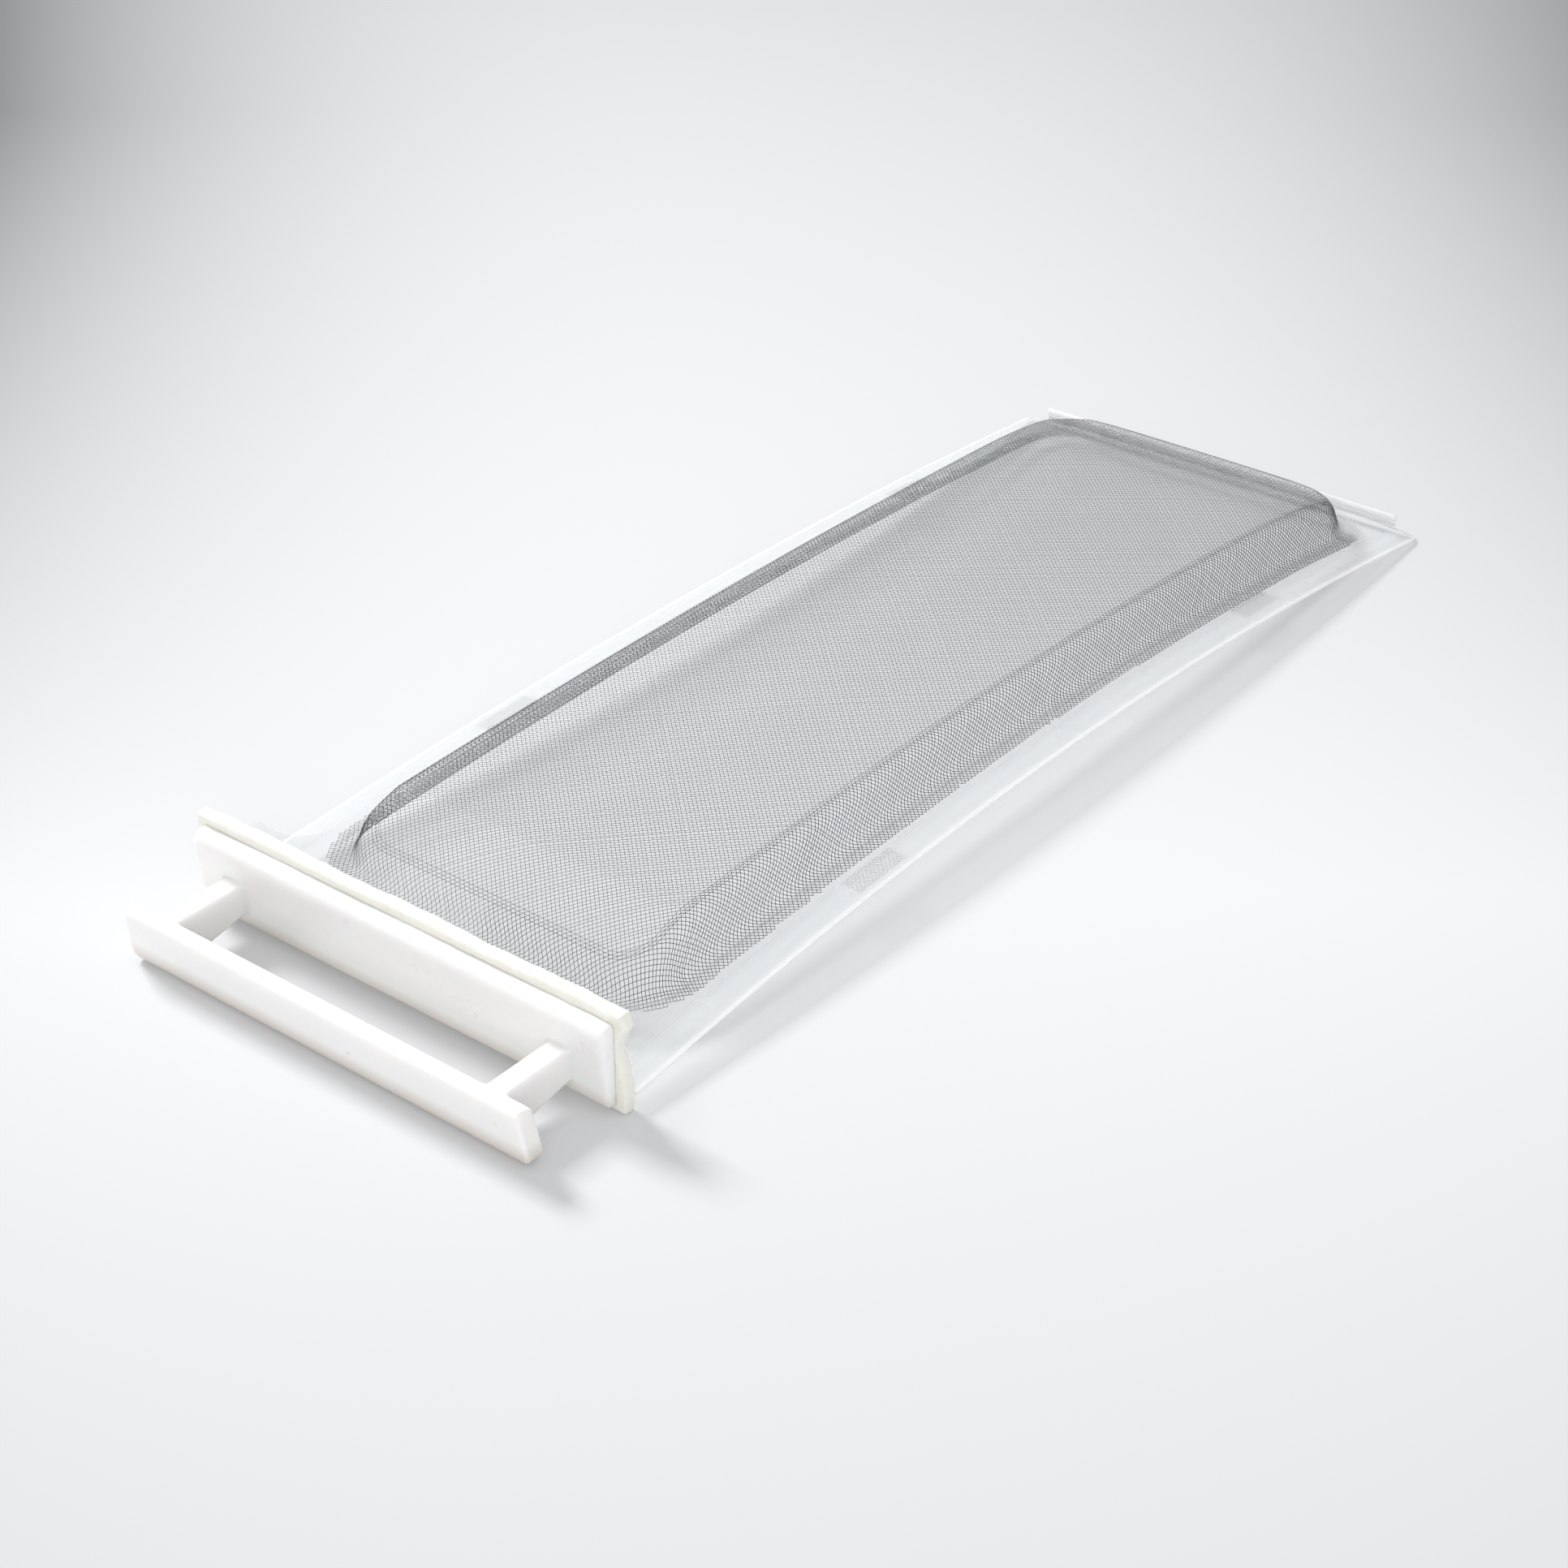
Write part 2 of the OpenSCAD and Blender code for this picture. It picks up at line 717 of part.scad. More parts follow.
module felt_seal() {
    color("cornsilk")
        placed()
            difference() {
                rotate([90, 0, 0])
                    linear_extrude(height = felt_t)
                        polygon(rounded(
                            [[-felt_w / 2, felt_lift], [felt_w / 2, felt_lift],
                             [felt_w / 2, felt_top], [-felt_w / 2, felt_top]],
                            [felt_r, felt_r, felt_r, felt_r]));
                at_screws()
                    translate([0, 0, -over])
                        cylinder(h = felt_t + 2 * over, r = screw_r + screw_gap, $fn = 48);
            }
}

recess_share = 0.55;

// Pan-head screws driven from the frame's side through the wall and the felt.
module screws() {
    color("silver")
        placed()
            at_screws()
                difference() {
                    union() {
                        translate([0, 0, -wall_t])
                            cylinder(h = wall_t + felt_t + screw_bite, r = screw_r, $fn = 48);
                        translate([0, 0, -wall_t - screw_head_h])
                            cylinder(h = screw_head_h, r = screw_head_r, $fn = 48);
                    }
                    translate([0, 0, -wall_t - screw_head_h])
                        for (turn = [0, 90])
                            rotate([0, 0, turn])
                                cube([screw_head_r * 1.2, screw_head_r * 0.3, screw_head_h * 2 * recess_share],
                                     center = true);
                }
}

handle();
felt_seal();
frame();
screen();
screws();
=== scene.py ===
import math

import bmesh
import bpy
import numpy as np
from mathutils import Matrix, Vector


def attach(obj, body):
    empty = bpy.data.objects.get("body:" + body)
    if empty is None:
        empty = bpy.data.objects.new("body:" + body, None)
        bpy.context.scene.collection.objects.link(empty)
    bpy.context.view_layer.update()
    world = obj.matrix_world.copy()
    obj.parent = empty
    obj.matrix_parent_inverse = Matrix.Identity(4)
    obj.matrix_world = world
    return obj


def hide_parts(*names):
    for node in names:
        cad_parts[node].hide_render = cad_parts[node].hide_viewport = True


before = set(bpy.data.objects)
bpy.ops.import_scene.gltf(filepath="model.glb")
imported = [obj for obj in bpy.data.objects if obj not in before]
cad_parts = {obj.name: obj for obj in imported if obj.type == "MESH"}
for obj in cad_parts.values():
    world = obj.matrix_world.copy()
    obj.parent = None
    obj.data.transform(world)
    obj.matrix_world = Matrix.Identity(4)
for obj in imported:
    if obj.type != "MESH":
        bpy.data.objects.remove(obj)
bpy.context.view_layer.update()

MM = 0.001


# Camera, at the photograph's viewing angle
CAMERA_AT = Vector((0.5051, -0.6658, 0.4909))
TURN = math.radians(38.44)
PITCH = math.radians(31.65)

back = Vector((math.sin(TURN) * math.cos(PITCH), -math.cos(TURN) * math.cos(PITCH), math.sin(PITCH)))
right = Vector((math.cos(TURN), math.sin(TURN), 0))
up = back.cross(right)
lens = bpy.data.cameras.new("camera")
lens.lens = 66.98
lens.sensor_width = 36
lens.clip_start = 0.01
lens.clip_end = 50
camera = bpy.data.objects.new("camera", lens)
camera.matrix_world = Matrix((
    (right.x, up.x, back.x, CAMERA_AT.x),
    (right.y, up.y, back.y, CAMERA_AT.y),
    (right.z, up.z, back.z, CAMERA_AT.z),
    (0, 0, 0, 1),
))
bpy.context.collection.objects.link(camera)
bpy.context.scene.camera = camera


# The part's own sizes in millimetres, counted from the seal at y = 0
MID_Y = 198.8
FRAME_LEN = 438.6
HALF_NEAR = 83.0
HALF_FAR = 87.0
WAIST = 3.9
BOW_RISE = 10.7
NEAR_LIFT = 3.7
FLANGE_FALL = 1.5
LEVEL_W = 63.7
WINDOW_INSET = 16.0
WINDOW_NEAR = 22.0
WINDOW_FAR = FRAME_LEN - 6.2
WINDOW_R = 18.0
PAN_RISE = 12.4
PAN_R = 21.0
FOOT_INSET = WINDOW_INSET + 1.4
FOOT_NEAR = WINDOW_NEAR + 1.4
FOOT_FAR = WINDOW_FAR - 1.4
WALL_ANGLE = math.radians(74)
FOOT_BEND = 3.0
TOP_BEND = 4.3
PAN_CROWN = 0.6
PAN_END_RISE = 1.6
PAN_DROP = 2.6
PAN_DROP_LEN = 60
RAMP_START = 0.12
RAMP_LEN = 30
DENT_AT = (64, 424)
DENT_DEPTH = 2.2
DENT_REACH = 13
CLOTH_MID = 1.2
FIN_X = 70.5
FIN_LEN = 44.0
FIN_R = 44.0
FIN_TOP = 28.3
FIN_HALF = 0.8
WALL_NEAR = 0.02
WALL_FAR = 2.4
WALL_TOP = 28.5
WALL_HALF = 77.0
RIB_NEAR = 436.3
RIB_FAR = 438.1
RIB_RISE = 5.8
RIB_HALF = 77.4
TAB_X = 74.5

chord = math.hypot(FRAME_LEN, NEAR_LIFT)
BOW_R = chord * chord / (8 * BOW_RISE) + BOW_RISE / 2
TILT = math.atan2(NEAR_LIFT, FRAME_LEN)
BOW_Y = FRAME_LEN / 2 - (BOW_R - BOW_RISE) * math.sin(TILT)
BOW_Z = NEAR_LIFT / 2 - (BOW_R - BOW_RISE) * math.cos(TILT)
FOOT_W = FOOT_BEND * math.sin(WALL_ANGLE)
FOOT_H = FOOT_BEND * (1 - math.cos(WALL_ANGLE))
TOP_W = TOP_BEND * math.sin(WALL_ANGLE)
TOP_H = TOP_BEND * (1 - math.cos(WALL_ANGLE))
FLANK_W = (PAN_RISE - FOOT_H - TOP_H) / math.tan(WALL_ANGLE)
SLOPE_W = FOOT_W + FLANK_W + TOP_W


def smooth_step(t):
    t = np.clip(t, 0, 1)
    return t * t * (3 - 2 * t)


def half_width(y):
    t = y / FRAME_LEN
    return HALF_NEAR + (HALF_FAR - HALF_NEAR) * t - 4 * WAIST * t * (1 - t)


def lower_face(x, y):
    fall = FLANGE_FALL * (1 - np.maximum(0, np.abs(x) - LEVEL_W) / (HALF_FAR - LEVEL_W))
    return BOW_Z + np.sqrt((BOW_R + fall) ** 2 - (y - BOW_Y) ** 2)


def depth_inside(x, y, inset, near, far, corner):
    """Distance inside a rounded outline, and the way out of it at each point."""
    side = half_width(y) - inset - np.abs(x)
    end = np.minimum(y - near, far - y)
    cx = corner - side
    cy = corner - end
    reach = np.maximum(np.hypot(cx, cy), 1e-9)
    in_corner = (cx > 0) & (cy > 0)
    depth = np.where(in_corner, corner - reach, np.minimum(side, end))
    sign_x = np.sign(x)
    sign_y = np.where(y - near < far - y, -1.0, 1.0)
    by_side = side < end
    out_x = np.where(in_corner, cx / reach, np.where(by_side, 1.0, 0.0)) * sign_x
    out_y = np.where(in_corner, cy / reach, np.where(by_side, 0.0, 1.0)) * sign_y
    return depth, out_x, out_y


def foot_depth(x, y):
    return depth_inside(x, y, FOOT_INSET, FOOT_NEAR, FOOT_FAR, PAN_R)


def wall_share(d):
    """Share of the pan's height at a distance inside its foot."""
    d = np.clip(d, 0, SLOPE_W)
    low = FOOT_BEND - np.sqrt(np.maximum(FOOT_BEND ** 2 - np.minimum(d, FOOT_W) ** 2, 0))
    flank = FOOT_H + (d - FOOT_W) * math.tan(WALL_ANGLE)
    left = np.minimum(SLOPE_W - d, TOP_W)
    high = PAN_RISE - TOP_BEND + np.sqrt(np.maximum(TOP_BEND ** 2 - left ** 2, 0))
    rise = np.where(d < FOOT_W, low, np.where(d < FOOT_W + FLANK_W, flank, high))
    return rise / PAN_RISE


def pan_top(y):
    """Height of the pan along its middle: a ramp at the near end and a drop at the far one."""
    mid = (FOOT_NEAR + FOOT_FAR) / 2
    end = (y - mid) / (FOOT_FAR - mid)
    ramp = np.minimum(1, RAMP_START + (1 - RAMP_START) * np.maximum(0, y - FOOT_NEAR) / RAMP_LEN)
    drop = PAN_DROP * smooth_step((y - FOOT_FAR + PAN_DROP_LEN) / PAN_DROP_LEN)
    left = 1 - ramp
    rise = PAN_RISE + PAN_END_RISE * end ** 2 - drop
    return rise * (1 - left ** 2 / (2 - 2 * RAMP_START) - left / 2)


def pan_height(x, y):
    """Height of the cloth over the frame, with a light crown and two dents at the far corners."""
    depth, _, _ = foot_depth(x, y)
    crown = PAN_CROWN * (1 - (x / (half_width(y) - FOOT_INSET)) ** 2)
    off = np.hypot(np.abs(x) - DENT_AT[0], y - DENT_AT[1]) / DENT_REACH
    return wall_share(depth) * (pan_top(y) + crown - DENT_DEPTH * np.exp(-off ** 2))


# Materials
def new_material(name):
    made = bpy.data.materials.new(name)
    made.use_nodes = True
    tree = made.node_tree
    shader = tree.nodes["Principled BSDF"]
    place = tree.nodes.new("ShaderNodeTexCoord")
    return made, tree, shader, place.outputs["Object"]


def noise(tree, place, scale, detail=3.0, rough=0.55, stretch=None):
    if stretch:
        turn = tree.nodes.new("ShaderNodeMapping")
        turn.inputs["Scale"].default_value = stretch
        tree.links.new(place, turn.inputs["Vector"])
        place = turn.outputs["Vector"]
    node = tree.nodes.new("ShaderNodeTexNoise")
    node.inputs["Scale"].default_value = scale
    node.inputs["Detail"].default_value = detail
    node.inputs["Roughness"].default_value = rough
    tree.links.new(place, node.inputs["Vector"])
    return node.outputs["Fac"]


def ranged(tree, value, low, high, from_low=0.3, from_high=0.7):
    node = tree.nodes.new("ShaderNodeMapRange")
    node.inputs["From Min"].default_value = from_low
    node.inputs["From Max"].default_value = from_high
    node.inputs["To Min"].default_value = low
    node.inputs["To Max"].default_value = high
    tree.links.new(value, node.inputs["Value"])
    return node.outputs["Result"]


def blended(tree, share, first, second):
    node = tree.nodes.new("ShaderNodeMix")
    node.data_type = "RGBA"
    node.clamp_factor = True
    tree.links.new(share, node.inputs["Factor"])
    for socket, colour in (("A", first), ("B", second)):
        at = [s for s in node.inputs if s.name == socket and s.type == "RGBA"][0]
        if isinstance(colour, tuple):
            at.default_value = (*colour, 1)
        else:
            tree.links.new(colour, at)
    return [s for s in node.outputs if s.type == "RGBA"][0]


def reckoned(tree, operation, first, second):
    """A sum of two values, either of which may be a plain number."""
    node = tree.nodes.new("ShaderNodeMath")
    node.operation = operation
    for socket, value in zip(node.inputs, (first, second)):
        if isinstance(value, (int, float)):
            socket.default_value = value
        else:
            tree.links.new(value, socket)
    return node.outputs[0]


def bumped(tree, shader, height, strength, distance):
    node = tree.nodes.new("ShaderNodeBump")
    node.inputs["Strength"].default_value = strength
    node.inputs["Distance"].default_value = distance
    tree.links.new(height, node.inputs["Height"])
    tree.links.new(node.outputs["Normal"], shader.inputs["Normal"])


def wire_steel():
    made, tree, shader, place = new_material("grey steel wire")
    shader.inputs["Metallic"].default_value = 0.35
    shader.inputs["Specular IOR Level"].default_value = 0.4
    tone = noise(tree, place, 45, 4, 0.6)
    steel = blended(tree, ranged(tree, tone, 0, 1), (0.06, 0.068, 0.067), (0.1, 0.108, 0.107))
    at = tree.nodes.new("ShaderNodeSeparateXYZ")
    tree.links.new(place, at.inputs[0])
    # Painted glints: the far wall's wires, and the left wall's wires more towards the far end, are made
    # lighter for the light that catches them.
    painted_glint_far_end = ranged(tree, at.outputs["Y"], 0, 1, 0.213, 0.222)
    painted_glint_left_side = reckoned(tree, "MULTIPLY", ranged(tree, at.outputs["X"], 0, 1, -0.052, -0.058),
                           ranged(tree, at.outputs["Y"], 0, 1, -0.05, 0.2))
    # Painted highlight: low on the far end, below 8.5 mm and fully below 5 mm, the far end's painted glint
    # turns near-white.
    painted_glint_far_foot = reckoned(tree, "MULTIPLY", painted_glint_far_end, ranged(tree, at.outputs["Z"], 0, 1, 0.0085, 0.005))
    # Painted shade: wires on the right side, beyond 50 to 60 mm from the middle, turn near-black for the
    # shade that falls on that wall.
    steel = blended(tree, ranged(tree, at.outputs["X"], 0, 1, 0.05, 0.06), steel, (0.015, 0.018, 0.018))
    steel = blended(tree, reckoned(tree, "MAXIMUM", painted_glint_far_end, painted_glint_left_side), steel, (0.3, 0.315, 0.312))
    steel = blended(tree, painted_glint_far_foot, steel, (0.72, 0.74, 0.74))
    tree.links.new(steel, shader.inputs["Base Color"])
    tree.links.new(ranged(tree, noise(tree, place, 900, 2), 0.4, 0.55), shader.inputs["Roughness"])
    bumped(tree, shader, noise(tree, place, 5000, 2), 0.15, 0.00003)
    return made


def milky_plastic():
    made, tree, shader, place = new_material("milky plastic")
    milk_and_highlight = tree.nodes.new("ShaderNodeAttribute")
    milk_and_highlight.attribute_name = "milk_and_highlight"
    tone = noise(tree, place, 14, 2)
    body = blended(tree, ranged(tree, tone, 0, 1), (0.66, 0.685, 0.69), (0.7, 0.72, 0.725))
    # Where the attribute runs high, at the rim and the rib's crest, the colour turns white: a painted
    # highlight.
    thick = ranged(tree, milk_and_highlight.outputs["Fac"], 0, 1, 0.6, 0.85)
    tree.links.new(blended(tree, thick, body, (0.95, 0.955, 0.96)), shader.inputs["Base Color"])
    tree.links.new(ranged(tree, milk_and_highlight.outputs["Fac"], 0.02, 0.85, 0, 1), shader.inputs["Alpha"])
    tree.links.new(ranged(tree, noise(tree, place, 60, 2), 0.26, 0.34), shader.inputs["Roughness"])
    shader.inputs["Subsurface Weight"].default_value = 1.0
    shader.inputs["Subsurface Radius"].default_value = (1.0, 1.05, 1.08)
    shader.inputs["Subsurface Scale"].default_value = 0.0035
    bumped(tree, shader, noise(tree, place, 30, 1), 0.03, 0.0003)
    return made


def warm_plastic():
    made, tree, shader, place = new_material("warm white plastic")
    tone = noise(tree, place, 14, 2)
    white = blended(tree, ranged(tree, tone, 0, 1), (0.945, 0.93, 0.905), (0.96, 0.95, 0.93))
    at = tree.nodes.new("ShaderNodeSeparateXYZ")
    tree.links.new(place, at.inputs[0])
    # Painted shade: over the lowest 8 mm, fully at 1 mm, the white turns a darker warm brown for the shade
    # near the floor.
    painted_shade_near_floor = ranged(tree, at.outputs["Z"], 0, 1, 0.008, 0.001)
    tree.links.new(blended(tree, painted_shade_near_floor, white, (0.66, 0.605, 0.555)), shader.inputs["Base Color"])
    tree.links.new(ranged(tree, noise(tree, place, 70, 2), 0.27, 0.34), shader.inputs["Roughness"])
    shader.inputs["Subsurface Weight"].default_value = 0.8
    shader.inputs["Subsurface Radius"].default_value = (1.0, 0.85, 0.74)
    shader.inputs["Subsurface Scale"].default_value = 0.0024
    bumped(tree, shader, noise(tree, place, 700, 2), 0.04, 0.00004)
    return made


def cream_felt():
    made, tree, shader, place = new_material("cream needled felt")
    mottle = noise(tree, place, 180, 4, 0.65)
    hairs = noise(tree, place, 2400, 4, 0.7, (1, 1, 0.35))
    colour = blended(tree, ranged(tree, mottle, 0, 1), (0.94, 0.91, 0.82), (0.985, 0.97, 0.91))
    tree.links.new(blended(tree, ranged(tree, hairs, 0, 0.35), colour, (0.88, 0.855, 0.77)),
                   shader.inputs["Base Color"])
    shader.inputs["Roughness"].default_value = 0.95
    shader.inputs["Specular IOR Level"].default_value = 0.15
    shader.inputs["Sheen Weight"].default_value = 0.4
    shader.inputs["Sheen Roughness"].default_value = 0.6
    shader.inputs["Subsurface Weight"].default_value = 0.5
    shader.inputs["Subsurface Radius"].default_value = (1.0, 0.95, 0.8)
    shader.inputs["Subsurface Scale"].default_value = 0.002
    bumped(tree, shader, hairs, 0.5, 0.0004)
    return made


def plated_screw():
    made, tree, shader, place = new_material("bright plated screw")
    shader.inputs["Metallic"].default_value = 1.0
    tone = noise(tree, place, 900, 3)
    tree.links.new(blended(tree, ranged(tree, tone, 0, 1), (0.62, 0.63, 0.64), (0.76, 0.77, 0.78)),
                   shader.inputs["Base Color"])
    tree.links.new(ranged(tree, noise(tree, place, 2500, 2), 0.18, 0.32), shader.inputs["Roughness"])
    return made


# Mesh helpers, which take millimetres from the seal and make row metres
def to_row(points):
    rows = np.array(points, dtype=np.float64).reshape(-1, 3)
    return (rows - np.array([0, MID_Y, 0])) * MM


def new_piece(name, points, edges=(), faces=()):
    mesh = bpy.data.meshes.new(name)
    mesh.from_pydata(to_row(points).tolist(), [tuple(e) for e in edges], [tuple(f) for f in faces])
    mesh.update()
    piece = bpy.data.objects.new(name, mesh)
    bpy.context.collection.objects.link(piece)
    return piece


def baked(piece, name):
    """The evaluated piece as a plain mesh of its own; the first one is removed."""
    depsgraph = bpy.context.evaluated_depsgraph_get()
    mesh = bpy.data.meshes.new_from_object(piece.evaluated_get(depsgraph))
    old_mesh = piece.data
    bpy.data.objects.remove(piece)
    if old_mesh.users == 0:
        bpy.data.meshes.remove(old_mesh)
    mesh.name = name
    made = bpy.data.objects.new(name, mesh)
    bpy.context.collection.objects.link(made)
    return made


def smooth_shaded(piece, angle=35):
    mesh = piece.data
    mesh.polygons.foreach_set("use_smooth", [True] * len(mesh.polygons))
    mesh.set_sharp_from_angle(angle=math.radians(angle))
    mesh.update()


def give_material(piece, material):
    piece.data.materials.clear()
    piece.data.materials.append(material)


class NodeTree:
    """A small builder of geometry node trees with named inputs."""

    def __init__(self, name):
        self.tree = bpy.data.node_groups.new(name, "GeometryNodeTree")
        self.tree.interface.new_socket("Geometry", in_out="INPUT", socket_type="NodeSocketGeometry")
        self.tree.interface.new_socket("Geometry", in_out="OUTPUT", socket_type="NodeSocketGeometry")
        self.keys = {}
        self.source = self.tree.nodes.new("NodeGroupInput")

    def size(self, name, kind="NodeSocketFloat"):
        socket = self.tree.interface.new_socket(name, in_out="INPUT", socket_type=kind)
        self.keys[name] = socket.identifier
        return self.source.outputs[name]

    def add(self, kind, links=None, values=None, **settings):
        node = self.tree.nodes.new(kind)
        for key, value in settings.items():
            setattr(node, key, value)
        for key, value in (values or {}).items():
            node.inputs[key].default_value = value
        for key, value in (links or {}).items():
            self.tree.links.new(value, node.inputs[key])
        return node

    def end(self, geometry):
        real = self.add("GeometryNodeRealizeInstances", {"Geometry": geometry})
        finish = self.size("Finish", "NodeSocketMaterial")
        dressed = self.add("GeometryNodeSetMaterial", {"Geometry": real.outputs[0], "Material": finish})
        out = self.add("NodeGroupOutput")
        self.tree.links.new(dressed.outputs[0], out.inputs[0])

    def apply(self, piece, name, **sizes):
        modifier = piece.modifiers.new(self.tree.name, "NODES")
        modifier.node_group = self.tree
        for key, value in sizes.items():
            modifier[self.keys[key.replace("_", " ")]] = value
        return baked(piece, name)


# Woven wire cloth, laid out flat on the bias and then pressed over the pan
PITCH = 1.27
WARP_TURN = math.radians(43.2)
WEFT_TURN = math.radians(-44.0)
WARP_STEP = PITCH * np.array([math.cos(WARP_TURN), math.sin(WARP_TURN)])
WEFT_STEP = PITCH * np.array([math.cos(WEFT_TURN), math.sin(WEFT_TURN)])
WIRE_R = 0.078
WEAVE_RISE = 0.11
CLOTH_MARGIN = 5.6
BEAD_RISE = 0.2
TABS = ((107, 131), (328, 351))
TAB_HALF = 4.2
TAB_LIFT = 0.8
THIN_WIRE_R = 0.06


def wall_run(length, height_share):
    """Plan distance from the pan's top edge for a length of cloth laid down the wall."""
    shares = np.linspace(0.05, 1.2, 24)
    out = np.linspace(0, SLOPE_W, 400)
    rise = wall_share(SLOPE_W - out) * PAN_RISE
    runs = []
    for share in shares:
        steps = np.hypot(np.diff(out), share * np.diff(rise))
        run = np.concatenate(([0], np.cumsum(steps)))
        beyond = run[-1] + 30
        runs.append(np.interp(length, np.append(run, beyond), np.append(out, SLOPE_W + 30)))
    runs = np.array(runs)
    at = np.clip((height_share - shares[0]) / (shares[1] - shares[0]), 0, len(shares) - 1.001)
    low = at.astype(int)
    part = at - low
    pick = np.arange(length.size)
    flat = runs.reshape(len(shares), -1)
    return ((1 - part) * flat[low, pick] + part * flat[low + 1, pick])


def pressed(u, v):
    """Place of a flat blank's point after the cloth is pressed to its shape."""
    depth, out_x, out_y = foot_depth(u, v)
    past = SLOPE_W - depth
    outside = past > 0
    at_y = np.clip(v, FOOT_NEAR, FOOT_FAR)
    run = wall_run(np.where(outside, past, 0), pan_top(at_y) / PAN_RISE)
    back_in = np.where(outside, past - run, 0)
    x = u - out_x * back_in
    y = v - out_y * back_in
    bead = BEAD_RISE * np.exp(-((past + 0.2) / 0.55) ** 2) * smooth_step((y - 40) / 15)
    z = lower_face(x, y) + CLOTH_MID + pan_height(x, y) + bead
    return x, y, z


def lattice():
    """Crossings of the two sets of wires, with the cloth's way up and the wires' thickness there."""
    steps_i = np.arange(-70, 430)
    steps_j = np.arange(-420, 80)
    i, j = np.meshgrid(steps_i, steps_j, indexing="ij")
    rng = np.random.default_rng(11)
    drift_i = np.cumsum(rng.normal(0, 0.02, i.shape[0]))
    drift_j = np.cumsum(rng.normal(0, 0.02, i.shape[1]))
    drift_i -= np.linspace(drift_i[0], drift_i[-1], drift_i.size)
    drift_j -= np.linspace(drift_j[0], drift_j[-1], drift_j.size)
    fi = i + rng.normal(0, 0.05, i.shape[0])[:, None] + drift_i[:, None]
    fj = j + rng.normal(0, 0.05, i.shape[1])[None, :] + drift_j[None, :]
    u = fi * WARP_STEP[0] + fj * WEFT_STEP[0]
    v = fi * WARP_STEP[1] + fj * WEFT_STEP[1] + 10
    bend_u = 0.7 * np.sin(v / 61 + 0.4) + 0.35 * np.sin(u / 23 + v / 37)
    bend_v = 0.6 * np.sin(u / 31 + 1.1) + 0.4 * np.sin(v / 29 - u / 41)
    u = u + bend_u
    v = v + bend_v
    x, y, z = pressed(u.ravel(), v.ravel())
    shape = i.shape
    at = np.stack([x.reshape(shape), y.reshape(shape), z.reshape(shape)], axis=-1)
    along = np.gradient(at, axis=0)
    across = np.gradient(at, axis=1)
    normal = np.cross(across, along)
    normal /= np.maximum(np.linalg.norm(normal, axis=-1, keepdims=True), 1e-9)
    normal *= np.sign(normal[..., 2:3] + 1e-9)
    depth, _, _ = foot_depth(at[..., 0], at[..., 1])
    kept = depth > -CLOTH_MARGIN
    over = np.where((i + j) % 2 == 0, 1.0, -1.0)[..., None]
    # On the right wall the wires are drawn thicker, more so towards the far end. This darkens that wall, and
    # the extra thickness stands in for the shade there.
    wall = smooth_step((SLOPE_W + 1.5 - depth) / 2) * (at[..., 0] > 0) * (at[..., 1] < FOOT_FAR - 12)
    thick = 1 + wall * (0.25 + 0.25 * at[..., 1] / FRAME_LEN)
    return at, normal, kept, over, thick


def wire_runs(at, kept, along_first):
    """Edges between neighbouring crossings along one set of wires."""
    rows, cols = kept.shape
    index = np.arange(rows * cols).reshape(rows, cols)
    if along_first:
        both = kept[:-1] & kept[1:]
        pairs = np.stack([index[:-1][both], index[1:][both]], axis=-1)
    else:
        both = kept[:, :-1] & kept[:, 1:]
        pairs = np.stack([index[:, :-1][both], index[:, 1:][both]], axis=-1)
    return pairs


def crease_lines():
    """Lines that the press leaves in the cloth along the pan's top edge, but for its far end."""
    points = []
    edges = []
    for inset in (SLOPE_W - 0.5, SLOPE_W + 0.5, SLOPE_W + 1.6):
        ring = inset_outline(FOOT_INSET + inset, FOOT_NEAR + inset, FOOT_FAR - inset,
                             PAN_R - inset, PAN_R - inset, side_steps=600)
        ring[:, 0] += 0.12 * np.sin(ring[:, 1] / 3.1 + inset)
        z = lower_face(ring[:, 0], ring[:, 1]) + CLOTH_MID + pan_height(ring[:, 0], ring[:, 1]) + 0.1
        start = len(points)
        points += list(zip(ring[:, 0], ring[:, 1], z))
        count = len(ring)
        edges += [(start + n, start + (n + 1) % count) for n in range(count) if ring[n, 1] < FOOT_FAR - 24]
    return points, edges


def tab_threads():
    """Cloth of the four tabs that lie sealed in the frame's long sides."""
    points = []
    edges = []
    ways = [np.array([1.0, turn]) / math.sqrt(2) for turn in (1.0, -1.0)]
    for side in (-1, 1):
        for low, high in TABS:
            mid = np.array([TAB_X * side, (low + high) / 2])
            for way in ways:
                normal = np.array([-way[1], way[0]])
                for k in range(-14, 15):
                    inside = []
                    for step in np.arange(-18, 18.01, PITCH):
                        x, y = mid + normal * PITCH * k + way * step
                        if abs(abs(x) - TAB_X) < TAB_HALF and low < y < high:
                            z = lower_face(x, y) + TAB_LIFT + 0.1 * (1 if (k + len(inside)) % 2 else -1)
                            inside.append((x, y, float(z)))
                    start = len(points)
                    points += inside
                    edges += [(start + n, start + n + 1) for n in range(len(inside) - 1)]
    return points, edges


